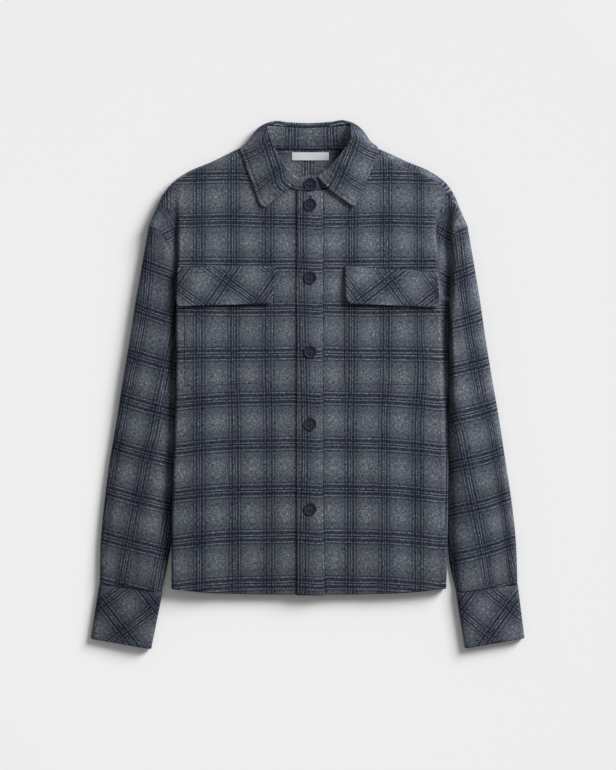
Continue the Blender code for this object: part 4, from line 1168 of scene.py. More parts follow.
@dataclass
class Fronts(Assembly):
    """The two front panels."""

    inner_columns: int = 60
    edge_columns: int = 40
    edge_width: float = 40.0
    outer_columns: int = 34
    hem_rows: int = 20
    hem_width: float = 22.0
    lower_rows: int = 118
    upper_rows: int = 56
    crown_share: float = 9.0 / 17.0
    neck_share: float = 0.42
    # Places of a warp group and of a weft band on the dropped shoulder
    cap_group: tuple[float, float] = (197.0, 248.7)
    cap_band: tuple[float, float] = (196.4, 211.2)

    def columns(self, side: int) -> tuple[int, Array]:
        """Shares across a panel, closer together beside the placket.

        Args:
            side: Side of the picture.

        Returns:
            How many lie before the crown, and the shares.
        """
        dense = self.edge_width if side > 0 else self.edge_width / 4.0
        count = self.edge_columns if side > 0 else self.edge_columns // 4
        turn = self.crown_share * dense / BODY_SIDE[side][0][1]
        near = np.linspace(0.0, turn, count, endpoint=False)
        far = np.linspace(turn, self.crown_share, self.inner_columns, endpoint=False)
        outer = np.linspace(self.crown_share, 1.0, self.outer_columns + 1)
        return len(near) + len(far), np.concatenate([near, far, outer])

    def lower(self, side: int, y: Array, inner_x: float, across: Array) -> Array:
        """Points of the front below the underarm.

        Args:
            side: Side of the picture.
            y: Heights.
            inner_x: Closure edge.
            across: Shares from the closure to the side seam.

        Returns:
            The points.
        """
        crown, rim, rise = side_fold(side, y)
        lead = rim - crown
        unwrap = ease((y - SEAM_RELEASE_Y) / (UNDERARM_Y - SEAM_RELEASE_Y))
        flat = np.clip(across / self.crown_share, 0.0, 1.0)
        x = inner_x + (side * crown - inner_x) * flat
        z = front_height(x, y)
        share = np.clip((across - self.crown_share) / (1.0 - self.crown_share), 0.0, 1.0)
        reach = crown + (lead - SEAM) * share
        lifted_z = front_height(side * reach, y)
        turn = share * (math.pi + SIDE_SEAM_TUCK / rise)
        round_z = FLOOR + rise * (1.0 + np.cos(np.minimum(turn, math.pi)))
        over = crown + lead * np.sin(np.minimum(turn, math.pi / 2))
        under = rim - rise * (1.0 - np.sin(turn))
        tuck = rim - rise - (turn - math.pi) * rise
        round_x = np.where(turn < math.pi / 2, over, np.where(turn < math.pi, under, tuck))
        folded_x = round_x + (reach - round_x) * unwrap
        folded_z = round_z + (lifted_z - round_z) * unwrap
        beyond = across > self.crown_share
        x = np.where(beyond, side * folded_x, x)
        z = np.where(beyond, folded_z, z)
        return np.stack([x, y, z], -1)

    def panel(self, name: str, node: str, side: int, inner_x: float) -> Cloth:
        """One front, from the hem round the side fold, then armhole, shoulder and neck.

        Args:
            name: Name of the piece.
            node: CAD node it stands for.
            side: Side of the picture.
            inner_x: Closure edge.

        Returns:
            The cloth.
        """
        shares = self.columns(side)[1]
        turn_up = PANEL_HEM_Y + self.hem_width
        levels = np.concatenate([np.linspace(PANEL_HEM_Y, turn_up, self.hem_rows, endpoint=False),
                                 np.linspace(turn_up, UNDERARM_Y, self.lower_rows)])
        y, across = np.meshgrid(levels, shares, indexing="ij")
        lower = self.lower(side, y, inner_x, across)
        sink = 1.0 - ease((y - PANEL_HEM_Y) / HEM_BLEND)
        lower[..., 1] += (hem_height(lower[..., 0]) - PANEL_HEM_Y) * sink
        base = lower[-1]
        neck = [(inner_x, PLACKET_TOP_Y)]
        neck += [(side * x, level) for x, level in FRONT_NECK if abs(side * x - inner_x) > 8.0]
        last = shoulder_seam(side, np.array(1.0))
        neck.append((side * last[0], last[1]))

        def top(share: Array) -> Array:
            """Neck edge, then the shoulder seam, at shares outwards."""
            at_neck = along(neck, np.clip(share / self.neck_share, 0.0, 1.0))
            seam = shoulder_seam(side, 1.0 - np.clip((share - self.neck_share) / (1 - self.neck_share), 0, 1))
            seam = seam * (side, 1.0)
            return np.where((share <= self.neck_share)[..., None], at_neck, seam)

        def inner_edge(up: Array) -> Array:
            """Straight inner edge at shares upwards."""
            return np.stack([inner_x + 0 * up, UNDERARM_Y + (PLACKET_TOP_Y - UNDERARM_Y) * up], -1)

        start = np.array((side * ARMHOLE[side][0][0], ARMHOLE[side][0][1]))
        finish = np.array((side * ARMHOLE[side][-1][0], ARMHOLE[side][-1][1]))
        end = top(np.array((1.0,)))[0]

        def outer_edge(up: Array) -> Array:
            """Armhole at shares upwards, drawn to the ends of bottom and top."""
            points = along(ARMHOLE[side], up) * (side, 1.0)
            u = up[..., None]
            shift = (base[-1][:2] - start) * (1.0 - u) + (end - finish) * u
            return points + shift + np.array((-side * SEAM, 0.35 * SEAM)) * 4.0 * u * (1.0 - u)

        def bottom(share: Array) -> Array:
            """Top row of the lower part at shares outwards."""
            return np.stack([np.interp(share, shares, base[:, axis]) for axis in (0, 1)], -1)

        ups, across_up = np.meshgrid(np.linspace(0.0, 1.0, self.upper_rows + 1)[1:], shares, indexing="ij")
        plan = coons((bottom, top, inner_edge, outer_edge), across_up, ups)
        upper = np.concatenate([plan, front_height(plan[..., 0], plan[..., 1])[..., None]], -1)
        grid = np.concatenate([lower, upper])
        return Cloth(name, node, grid, self.cut(side, grid, len(levels)), CLOTH,
                     rests_on=("back", "yoke"), rounded=0.9, seams=(("first_row", 8.0, 0.35),))

    def cut(self, side: int, grid: Array, lower_rows: int) -> Array:
        """Cloth coordinates of a front: the plaid hangs straight, and tilts past the crease.

        Args:
            side: Side of the picture.
            grid: Points of the front.
            lower_rows: How many of its rows lie below the underarm.

        Returns:
            Millimetres across from a warp group, and along.
        """
        x = grid[..., 0]
        y = grid[..., 1]
        u, v = body_plaid(side, x, y)
        lengths = arc_lengths(grid, 1)
        first = self.columns(side)[0]
        beyond = lengths[:lower_rows, first:] - lengths[:lower_rows, first:first + 1]
        u[:lower_rows, first:] = u[:lower_rows, first:first + 1] + beyond
        reach = np.abs(x)
        place = read(CREASE[side], np.maximum(y, UNDERARM_Y))
        edge = place[..., 0] - (0.6 * place[..., 2] if side < 0 else place[..., 2])
        past = ease((reach - edge - 1.0) / 2.6) * ease((y - UNDERARM_Y + 6.0) / 14.0)
        past = past * ease((250.0 - y) / 24.0)
        (group_x, group_y), (band_x, band_y) = self.cap_group, self.cap_band
        tilt_u = FIRST_GROUP + 3 * WARP_REPEAT + (reach - group_x) - 0.38 * (y - group_y)
        tilt_v = plaid_rows(231.4) + (y - band_y) + 0.55 * (reach - band_x)
        u = u + (tilt_u - u) * past
        v = v + (tilt_v - v) * past
        return np.stack([side * (u - FIRST_GROUP), v], -1)

    def build(self) -> None:
        """Make both panels."""
        self.cloths += [self.panel("front_right_cloth", "front_right", -1, PLACKET_LEFT - 0.2),
                        self.panel("front_left_cloth", "front_left", 1, UNDERLAP_X)]


@dataclass
class BackAndYoke(Assembly):
    """The flat back and the yoke folded over the shoulders."""

    back_columns: int = 70
    back_rows: int = 60
    wrap_rows: int = 22
    flat_rows: int = 10
    stations: int = 46
    neck_stations: int = 26

    def build_back(self) -> Cloth:
        """Back panel, flat on the floor, from hem to yoke seam."""
        edges = {}
        for side in (-1, 1):
            level = np.linspace(BACK_HEM_Y, 116.0, self.back_rows)
            rim, rise = side_fold(side, np.minimum(level, 112.0))[1:]
            low = np.stack([side * (rim - rise - SIDE_SEAM_TUCK - SEAM), level], -1)
            shares = np.linspace(0.0, 1.0, 200)
            top_share = shares[np.searchsorted(along(ARMHOLE[side], shares)[:, 1], YOKE_SEAM_Y)]
            high = armhole_line(side, np.linspace(0.03, top_share, 26), -SEAM)
            edges[side] = np.concatenate([low, high])
        share = np.linspace(0.0, 1.0, self.back_columns)[None, :, None]
        plan = edges[-1][:, None] + (edges[1] - edges[-1])[:, None] * share
        plan[-1, :, 1] = YOKE_SEAM_Y - SEAM
        drop = 1.0 - ease((plan[..., 1] - BACK_HEM_Y) / HEM_BLEND)
        plan[..., 1] += (hem_height(plan[..., 0]) + BACK_HEM_STEP - BACK_HEM_Y) * drop
        grid = np.concatenate([plan, np.full(plan.shape[:2] + (1,), FLOOR)], -1)
        cut = np.stack([grid[..., 0], plaid_rows(grid[..., 1])], -1)
        return Cloth("back_cloth", "back", grid, cut, CLOTH, level=True)

    def build_yoke(self) -> Cloth:
        """Yoke: flat across the upper back, then over both shoulders to the front seam."""
        halves = []
        for side in (-1, 1):
            edge, outward, depth = shoulder_frame(side, np.linspace(0.0, 1.0, self.stations))
            turn = math.pi / 2 + np.arccos(np.clip(1.0 - depth / FOLD_RISE, -1.0, 1.0))
            length = turn * FOLD_RISE + np.maximum(depth - FOLD_RISE, 0.0)
            neck = even_rows(YOKE_NECK[::-1], self.neck_stations)[1:-1]
            lean = 0.12 * np.maximum(0.0, (neck[:, 0] - 30.0) / 55.0)
            neck_out = np.stack([lean, np.ones_like(lean)], -1)
            halves.append((np.concatenate([edge, neck[:, :2]]), np.concatenate([outward, neck_out]),
                           np.concatenate([length, neck[:, 2]])))
        sign = np.array([-1.0] * len(halves[0][0]) + [1.0] * (1 + len(halves[1][0])))
        middle = np.array(YOKE_NECK[0])
        edge = np.concatenate([halves[0][0], middle[None, :2], halves[1][0][::-1]])
        outward = np.concatenate([halves[0][1], [(0.0, 1.0)], halves[1][1][::-1]])
        length = np.concatenate([halves[0][2], middle[2:], halves[1][2][::-1]])
        outward = outward / np.linalg.norm(outward, axis=1, keepdims=True)
        foot = edge - outward * FOLD_RISE
        start = np.stack([np.minimum(foot[:, 0] * 0.97, YOKE_END_X),
                          np.full(len(foot), YOKE_SEAM_Y + SEAM)], -1)
        columns = []
        for i in range(self.flat_rows):
            plan = start + (foot - start) * i / self.flat_rows
            columns.append(np.stack([sign * plan[:, 0], plan[:, 1], np.full(len(foot), FLOOR)], -1))
        for i in range(self.wrap_rows + 1):
            angle = length * i / self.wrap_rows / FOLD_RISE
            inset = np.where(angle <= math.pi, FOLD_RISE * (1.0 - np.sin(angle)),
                             FOLD_RISE * (1.0 + angle - math.pi))
            lift = FOLD_RISE * (1.0 - np.cos(np.minimum(angle, math.pi)))
            plan = edge - outward * inset[:, None]
            columns.append(np.stack([sign * plan[:, 0], plan[:, 1], FLOOR + lift], -1))
        grid = np.stack(columns, 1)
        along_cut = arc_lengths(grid, 1)
        across = grid[:, self.flat_rows, 0][:, None] + 0 * along_cut
        level = along_cut - along_cut[:, -1:] + WEFT_REPEAT / 2
        # Inside the neck the plaid runs level, and the cloth rises to the stand's seam
        inside = 1.0 - ease((np.abs(across) - 62.0) / 24.0)
        level = level + (grid[..., 1] - 272.0 - level) * inside
        sewn_on = ease((grid[..., 1] - 310.0) / 18.0) * (1.0 - ease((np.abs(grid[..., 0]) - 62.0) / 18.0))
        grid[..., 2] += 0.75 * sewn_on * (grid[..., 2] < FLOOR + 1.0)
        cut = np.stack([across, level], -1)
        return Cloth("yoke_cloth", "yoke", grid, cut, CLOTH, rests_on=("back",))

    def build(self) -> None:
        """Make both panels."""
        self.cloths += [self.build_back(), self.build_yoke()]


@dataclass
class Sleeves(Assembly):
    """Sleeve tubes with their cuffs."""

    rows: int = 176
    ring: int = 84
    cuff_rows: int = 72
    cuff_fold: float = 4.4
    cuff_slope: float = 4.0
    # Share of the crest at which the top layer begins
    top_share: float = 0.35
    # Place of a warp group, slant of the bands, a band's height and the distance out where it has it
    plaid_at: tuple = ((208.1, 0.26, -30.0, 225.8), (240.7, 0.238, -34.8, 243.0))

    def profile(self, width: Array, crest: Array, inner: Array, slope: Array, foot: Array,
                half: float, full: bool) -> tuple[Array, Array]:
        """Ring of a sleeve: distances from the inner edge and heights, from under the cloth.

        Args:
            width: Width of the flat tube.
            crest: Height of its top layer.
            inner: Radius of the inner fold.
            slope: Width of the slope down to the inner fold.
            foot: Width of the low strip before the slope.
            half: Half the wall.
            full: Whether the slope swells out, rather than being pressed in.

        Returns:
            Distances and heights, a column for each point of the ring.
        """
        outer = (crest - half) / 2.0
        reach = []
        height = []
        for i in range(3):
            reach.append(inner + (width - outer - inner) * i / 3)
            height.append(half + 0 * width)
        for i in range(7):
            angle = math.pi * (i / 6 - 0.5)
            reach.append(width - outer * (1.0 - math.cos(angle)))
            height.append(half + outer * (1 + math.sin(angle)))
        shelf = slope + (foot if full else inner)
        for i in range(1, 6):
            reach.append(width - outer + (shelf - width + outer) * i / 5)
            height.append(crest + 0 * width)
        low = half + inner * (1.0 if full else 2.0)
        for share in (0.74, 0.48, 0.26, 0.1, 0.02) if full else (0.8, 0.6, 0.4, 0.2, 0.0):
            reach.append(shelf - slope * (1.0 - share))
            swell = math.sqrt(1.0 - (1.0 - share) ** 2) if full else float(ease(np.array(share)))
            height.append(low + (crest - low) * swell)
        for angle in (190.0, 216.0, 243.0) if full else (126.0, 162.0, 198.0, 234.0):
            bend = math.radians(angle)
            reach.append(inner * (1.0 + math.cos(bend)))
            height.append(half + inner * (1.0 + math.sin(bend)))
        return np.stack(reach, -1), np.stack(height, -1)

    def run(self, grid: Array, inset: Array, radius: Array) -> Array:
        """Length of cloth round a tube, from its outer fold and positive on the top layer.

        Args:
            grid: Points of the tube.
            inset: Distances in from the outer edge.
            radius: Radius of the outer fold.

        Returns:
            Lengths, with one column more than the grid for the place where it closes.
        """
        closed = np.concatenate([grid, grid[:, :1]], axis=1)
        lengths = arc_lengths(closed, 1)
        spot = int(grid.shape[1] * 0.62)
        known = inset[:, spot:spot + 1] + (radius * (math.pi / 2 - 1.0))[:, None]
        return lengths - lengths[:, spot:spot + 1] + known

    def refine(self, reach: Array, height: Array) -> tuple[Array, Array]:
        """Smooth closed rings with more points, evenly spread on average.

        Args:
            reach: Distances from the inner edge, a row for each ring.
            height: Heights.

        Returns:
            The finer distances and heights.
        """
        grid = np.stack([reach, height], -1)
        columns = grid.shape[1]
        steps = np.linalg.norm(np.roll(grid, -1, axis=1) - grid, axis=2).mean(0)
        at = np.concatenate([[0.0], np.cumsum(steps)])
        spots = np.linspace(0.0, at[-1], self.ring, endpoint=False)
        index = np.clip(np.searchsorted(at, spots, side="right") - 1, 0, columns - 1)
        t = ((spots - at[index]) / (at[index + 1] - at[index]))[None, :, None]
        before = (index - 1) % columns
        after = (index + 1) % columns
        later = (index + 2) % columns
        span = steps[index][None, :, None]
        ma = (grid[:, after] - grid[:, before]) / (steps[before] + steps[index])[None, :, None] * span
        mb = (grid[:, later] - grid[:, index]) / (steps[index] + steps[after])[None, :, None] * span
        finer = hermite(t, grid[:, index], grid[:, after], ma, mb)
        return finer[..., 0], finer[..., 1]

    def sink(self, side: int, top: Array, share: Array) -> Array:
        """How far the top layer sinks at shares of the width in from the outer edge."""
        return OUTER_SINK[side] * top * (1.0 - ease(share / 0.8))

    def sleeve(self, side: int) -> Cloth:
        """Sleeve tube from the armhole seam to the cuff seam.

        Args:
            side: Side of the picture.

        Returns:
            The cloth.
        """
        corner_in, corner_out = CUFF_CORNERS[side][:2]
        levels = np.array((60.0, 0.0, -60.0, -120.0, -180.0, -215.0))
        rims = read(BODY_SIDE[side], levels)[:, 0] + SLEEVE_CLEARANCE
        start_in = armhole_line(side, np.array(0.0), SEAM)
        inner_points = [(abs(start_in[0]) + 0.2, UNDERARM_Y - 0.4)]
        inner_points += list(zip(rims, levels))
        inner_points += [SLEEVE_PEEK[side], (abs(corner_in[0]), corner_in[1] + SEAM)]
        outer_points = [list(point) for point in SLEEVE_OUTER[side]]
        outer_points[0] = [outer_points[0][0] + 0.1, outer_points[0][1] - 0.3]
        outer_points[-1][1] += SEAM

        def inner(down: Array) -> Array:
            """Inner edge at shares downwards."""
            return along(inner_points, down) * (side, 1.0)

        def outer(down: Array) -> Array:
            """Outer edge at shares downwards."""
            return along(outer_points, down) * (side, 1.0)

        ends = np.array((0.0, 1.0))
        first_in, last_in = inner(ends)
        first_out, last_out = outer(ends)
        seam_start, seam_end = armhole_line(side, ends, SEAM)

        def seam_line(across: Array) -> Array:
            """Armhole end, drawn to the two edges, at shares outwards."""
            a = across[..., None]
            line = armhole_line(side, across, SEAM)
            return line + (first_in - seam_start) * (1 - a) + (first_out - seam_end) * a

        def cuff_line(across: Array) -> Array:
            """Cuff end at shares outwards."""
            return last_in + (last_out - last_in) * across[..., None]

        steps = np.linspace(0.0, 1.0, self.rows)
        down = steps**1.12
        rise = read(SLEEVE_RISE[side], down)
        width = np.linalg.norm(outer(down) - inner(down), axis=-1)
        reach, height = self.refine(*self.profile(width, *rise.T, FLOOR, side > 0))
        d = np.repeat(down[:, None], self.ring, axis=1)
        wide = width[:, None] + 0 * reach
        across = np.clip(reach / wide, 0.0, 1.0)
        plan = coons((seam_line, cuff_line, inner, outer), across, d)
        tucked = inner(d) + np.stack([side * reach, 0 * reach], -1)
        slack = ((1.0 - ease(reach / UNDERARM_EASE)) * (1.0 - ease(d / 0.5)))[..., None]
        plan = plan + (tucked - plan) * slack
        crest = rise[:, 0][:, None] + 0 * reach
        inset = wide - reach
        start = self.top_share * crest
        top = ease((height - FLOOR - start) / start)
        for start, stop, near, far, half, depth in SLEEVE_FOLDS[side]:
            run = ease((d - start) / 0.12 + 0.5) * ease((stop - d) / 0.12 + 0.5)
            place = near + (far - near) * np.clip((d - start) / (stop - start), 0.0, 1.0)
            height = height - depth * run * top * bump((inset - place) / half)
        height = height - ease((d - 0.3) / 0.4) * self.sink(side, top, inset / wide)
        seam = front_height(*np.moveaxis(along(ARMHOLE[side], across) * (side, 1.0), -1, 0))
        lifted = ease((height - FLOOR - 2.0) / 3.0) * ease((inset - 1.0) / 4.0) * ease((reach - 1.5) / 2.0)
        height = height + (seam - height) * bump(d / 0.06) * lifted
        grid = np.concatenate([plan, height[..., None]], -1)
        node = f"sleeve_{Side(side).word}"
        cut = self.cut(side, grid, reach, wide, crest)
        return Cloth(f"{node}_cloth", node, grid, cut, CLOTH, closed=True,
                     rests_on=("back",), rounded=0.6, seams=(("first_row", 2.4, 0.0),))

    def cut(self, side: int, grid: Array, reach: Array, wide: Array, crest: Array) -> Array:
        """Cloth coordinates of a sleeve, unrolled round its outer fold.

        Args:
            side: Side of the picture.
            grid: Points of the tube.
            reach: Distances from the inner edge.
            wide: Widths of the flat tube.
            crest: Heights of the top layer.

        Returns:
            Millimetres across from a warp group, and along from a weft band.
        """
        radius = (crest[:, 0] - FLOOR) / 2.0
        inset = wide - reach
        arc = self.run(grid, inset, radius)
        grid = np.concatenate([grid, grid[:, :1]], axis=1)
        inset = np.concatenate([inset, inset[:, :1]], axis=1)
        across = np.abs(grid[..., 0]) + inset - arc + (radius * (math.pi / 2 - 1.0))[:, None]
        y = grid[..., 1]
        if side < 0:
            across = across + 4.2 * bump((y - 90.0) / 95.0) - 2.0 * ease((-130.0 - y) / 60.0)
            across = across + 3.6 * ease((y + 110.0) / 40.0)
            y = y + 2.2 * ease((-20.0 - y) / 60.0)
        else:
            across = across - 11.0 * ease((-10.0 - y) / 60.0) * ease((290.0 - across) / 50.0)
            across = across + 3.4 * bump((y + 203.0) / 55.0) * ease((across - 260.0) / 14.0)
            y = y - 4.0 * ease((y - 90.0) / 60.0)
        bend = np.clip(y - 60.0, 0.0, None)
        drift = 0.187 * y - 0.0005 * bend**2
        group, slant, band, level = self.plaid_at[side > 0]
        slant = slant + 0.085 * ease((y - 50.0) / 80.0)
        return np.stack([(across + drift - group) * 0.983, (y - band - slant * (across - level)) * 0.968], -1)

    def cuff(self, side: int) -> Cloth:
        """Cuff tube below the sleeve, its mouth open.

        Args:
            side: Side of the picture.

        Returns:
            The cloth.
        """
        seam_in, seam_out, mouth_out, mouth_in = (np.array(c, dtype=float) for c in CUFF_CORNERS[side])
        half = CUFF_WALL / 2.0
        down = np.linspace(0.0, 1.0, self.cuff_rows)
        inner = seam_in + (mouth_in - seam_in) * down[:, None]
        outer = seam_out + (mouth_out - seam_out) * down[:, None]
        width = np.linalg.norm(outer - inner, axis=1)
        crest = np.full_like(down, CUFF_HEIGHT - half)
        fold, slope = (0 * down + size for size in (self.cuff_fold, self.cuff_slope))
        reach, height = self.refine(*self.profile(width, crest, fold, slope, 0 * down, half, False))
        start = self.top_share * crest[0]
        wide = width[:, None]
        height = height - self.sink(side, ease((height - half - start) / start), 1.0 - reach / wide)
        share = (reach / wide)[..., None]
        plan = inner[:, None] + (outer - inner)[:, None] * share
        grid = np.concatenate([plan, height[..., None]], -1)
        radius = (crest[0] - half) / 2.0
        depth = self.run(grid, wide - reach, radius + 0 * crest) - radius * (math.pi / 2 - 1.0)
        inward = ((inner - outer) / wide)[:, None]
        flat = outer[:, None] + inward * depth[..., None]
        cut = turned(flat[..., 0], flat[..., 1], BIAS_CUFF[side])
        word = Side(side).word
        return Cloth(f"cuff_{word}_cloth", f"cuff_{word}", grid, cut, CUFF_WALL,
                     closed=True, rests_on=(f"sleeve_{word}",), slot=BIAS,
                     seams=(("last_row", 6.2, 0.4), ("first_row", 2.0, 0.3)))

    def build(self) -> None:
        """Make sleeves and cuffs."""
        for side in (-1, 1):
            self.cloths += [self.sleeve(side), self.cuff(side)]


def turned(x: Array, y: Array, turn: Sequence[float]) -> Array:
    """Cloth coordinates of a piece cut on the bias.

    Args:
        x: Places across, in the drawing.
        y: Places along, in the drawing.
        turn: Angle of the warp's normal, angle of the weft, and where a group of each lies.

    Returns:
        Millimetres across from a warp group, and along from a weft band.
    """
    warp, weft, first, second = turn
    a = math.radians(warp)
    b = math.radians(weft)
    u = x * math.cos(a) + y * math.sin(a) - first
    v = y * math.cos(b) - x * math.sin(b) - second
    return np.stack([u, v * BIAS_STRETCH], -1)


@dataclass(frozen=True)
class FlapLift:
    """How a flap stands off: sewn along its top, springing open below, its inner edge curled."""

    curl: float

    def height(self, down: Array, across: Array) -> Array:
        """Height above the front at shares down and across."""
        return read(FLAP_LIFT, down)[..., 0] + self.curl * bump(across / 0.16) * ease(down / 0.6)


@dataclass
class Pockets(Assembly):
    """Patch pockets and their bias-cut flaps."""

    columns: int = 110
    rows: int = 90
    flap_rows: int = 64

    def patch(self, corners: Sequence[Sequence[float]], lift: Callable[[Array, Array], Array],
              rows: int, rounds: tuple[float, float]) -> Array:
        """Grid between four corners that follows the front.

        Args:
            corners: Top inner, top outer, bottom outer, bottom inner.
            lift: Height above the front at shares down and across.
            rows: Rows of the grid.
            rounds: Radius of the lower inner and outer corner.

        Returns:
            The grid.
        """
        top_in, top_out, low_out, low_in = (np.array(c, dtype=float) for c in corners)
        side = -1 if top_in[0] < 0 else 1
        steps = 1.0 - (1.0 - np.linspace(0, 1, rows)) ** 1.25
        down, across = np.meshgrid(steps, np.linspace(0, 1, self.columns), indexing="ij")
        d = down[..., None]
        left = top_in + (low_in - top_in) * d
        span = top_out + (low_out - top_out) * d - left
        width = np.linalg.norm(span, axis=-1)
        above = (1.0 - down) * np.linalg.norm(low_in - top_in)
        start, stop = (r - np.sqrt(np.maximum(r**2 - np.maximum(r - above, 0.0) ** 2, 0.0)) for r in rounds)
        a = (start + (width - start - stop) * across) / width
        plan = left + span * a[..., None]
        firm = side * np.minimum(np.abs(plan[..., 0]), FLAP_SUPPORT_X)
        height = front_height(firm, plan[..., 1]) + lift(down, a)
        return np.concatenate([plan, height[..., None]], -1)

    def build(self) -> None:
        """Make pockets and flaps."""
        for side in (-1, 1):
            word = Side(side).word
            grid = self.patch(POCKETS[side], lambda down, across: POCKET_LIFT + 0 * down,
                              self.rows, POCKET_ROUND)
            out, level = body_plaid(side, grid[..., 0], grid[..., 1])
            cut = np.stack([side * (out - FIRST_GROUP), level], -1)
            pocket = Cloth(f"pocket_{word}_cloth", f"pocket_{word}", grid, cut, POCKET_WALL,
                           rests_on=(f"front_{word}_cloth",),
                           seams=(("first_column", 1.6, 0.5), ("last_column", 1.6, 0.7),
                                  ("last_row", 1.6, 0.5)))
            grid = self.patch(FLAPS[side], FlapLift(FLAP_CURL[side]).height,
                              self.flap_rows, FLAP_ROUND[side])
            cut = turned(grid[..., 0], grid[..., 1], BIAS_FLAP[side])
            flap = Cloth(f"flap_{word}_cloth", f"flap_{word}", grid, cut, FLAP_WALL,
                         rests_on=(f"pocket_{word}_cloth",), slot=BIAS,
                         seams=(("first_row", 8.4, 0.5), ("last_row", 6.0, 0.3), ("first_column", 6.0, 0.3),
                                ("last_column", 6.0, 0.3)))
            self.cloths += [pocket, flap]


def placket_height(x: Array, y: Array) -> Array:
    """Middle of the placket above the floor."""
    return front_height(np.abs(x), y) + CLOTH / 2 + REST + PLACKET_WALL / 2


@dataclass
class PlacketAndCollar(Assembly):
    """Buttoned placket, collar stand, collar leaf and neck label."""

    placket_size: tuple[int, int] = (190, 44)
    stand_size: tuple[int, int] = (150, 12)
    leaf_size: tuple[int, int] = (170, 52)
    label_size: tuple[int, int] = (12, 40)
    # Drift of the placket's warp groups at heights
    drift: tuple = ((-220.0, -7.7), (-90.0, -4.9), (90.0, -8.4), (200.0, -10.8))

    def build_placket(self) -> Cloth:
        """Placket over the closure, from the stand to the hem."""
        top = PLACKET_TOP_Y - SEAM
        low = float(hem_height(np.array(0.0))) - BACK_HEM_STEP
        rows, columns = self.placket_size
        y, share = np.meshgrid(np.linspace(top, low, rows), np.linspace(0.0, 1.0, columns), indexing="ij")
        x = PLACKET_LEFT + (PLACKET_RIGHT + flare(y) - PLACKET_LEFT) * share
        grid = np.stack([x, y, placket_height(x, y)], -1)
        cut = np.stack([x - 1.0 - read(self.drift, y)[..., 0],
                        plaid_rows(y + 1.8) + 0.8 * np.sin(x / 9.0)], -1)
        return Cloth("placket_cloth", "placket", grid, cut, PLACKET_WALL, rests_on=("front_left_cloth",),
                     seams=(("first_column", 2.0, 0.2), ("last_column", 2.0, 0.3)))

    def build_stand(self) -> Cloth:
        """Collar stand from the neck seam up to the roll line."""
        rows = even_rows(STAND, self.stand_size[0])
        share = np.linspace(0.0, 1.0, self.stand_size[1])[None, :, None]
        grid = rows[:, None, :3] + (rows[:, None, 3:] - rows[:, None, :3]) * share
        around = arc_lengths(grid, 0).mean(1)
        behind = np.interp(2.0, grid[70:90, 0, 0], around[70:90])
        around = (around - behind)[:, None] + 0 * grid[..., 0]
        cut = np.stack([(around - 3.0) * 0.885 + WARP_REPEAT / 2, arc_lengths(grid, 1) + 6.0], -1)
        return Cloth("stand_cloth", "collar_stand", grid, cut, STAND_WALL, rests_on=("yoke_cloth",),
                     seams=(("first_column", 2.0, 0.0), ("last_column", 3.0, 0.0), ("first_row", 3.0, 0.0)))

    def build_leaf(self) -> Cloth:
        """Collar leaf from the roll line over to its outer edge and points."""
        rows = even_rows(LEAF, self.leaf_size[0])
        keys = np.array((0.0, 0.5, 1.0))
        shares = np.linspace(0.0, 1.0, self.leaf_size[1])
        values = rows.reshape(-1, 3, 3)
        slopes = np.gradient(values, keys, axis=1) / 2
        index = np.minimum((shares * 2).astype(int), 1)
        t = (shares * 2 - index)[None, :, None]
        grid = hermite(t, values[:, index], values[:, index + 1], slopes[:, index], slopes[:, index + 1])
        around = arc_lengths(grid, 0)[:, -1]
        from_point = np.minimum(around, around[-1] - around)[:, None] + 0 * grid[..., 0]
        lengths = arc_lengths(grid, 1)
        cut = np.stack([from_point - 29.0, lengths[:, -1:] - lengths - 40.0], -1)
        return Cloth("collar_cloth", "collar", grid, cut, LEAF_WALL, rests_on=("stand_cloth",), held="folded",
                     seams=(("last_column", 4.6, 0.8), ("first_row", 4.6, 0.8), ("last_row", 4.6, 0.8)))

    def build_label(self) -> Cloth:
        """Blank woven label inside the back neck."""
        top_left, top_right, low_right, low_left = (np.array(c) for c in LABEL_CORNERS)
        down, across = np.meshgrid(*(np.linspace(0, 1, size) for size in self.label_size), indexing="ij")
        d = down[..., None]
        a = across[..., None]
        left = top_left + (low_left - top_left) * d
        plan = left * (1 - a) + (top_right + (low_right - top_right) * d) * a
        height = CLOTH + REST + 0.5 + 0.25 * np.sin(across * math.pi * 2.3) * down
        grid = np.concatenate([plan, height[..., None]], -1)
        return Cloth("neck_label", "label", grid, plan, LABEL_WALL, rests_on=("yoke_cloth",), slot=SATIN)

    def build(self) -> None:
        """Make the four pieces."""
        self.cloths += [self.build_placket(), self.build_stand(), self.build_leaf(), self.build_label()]


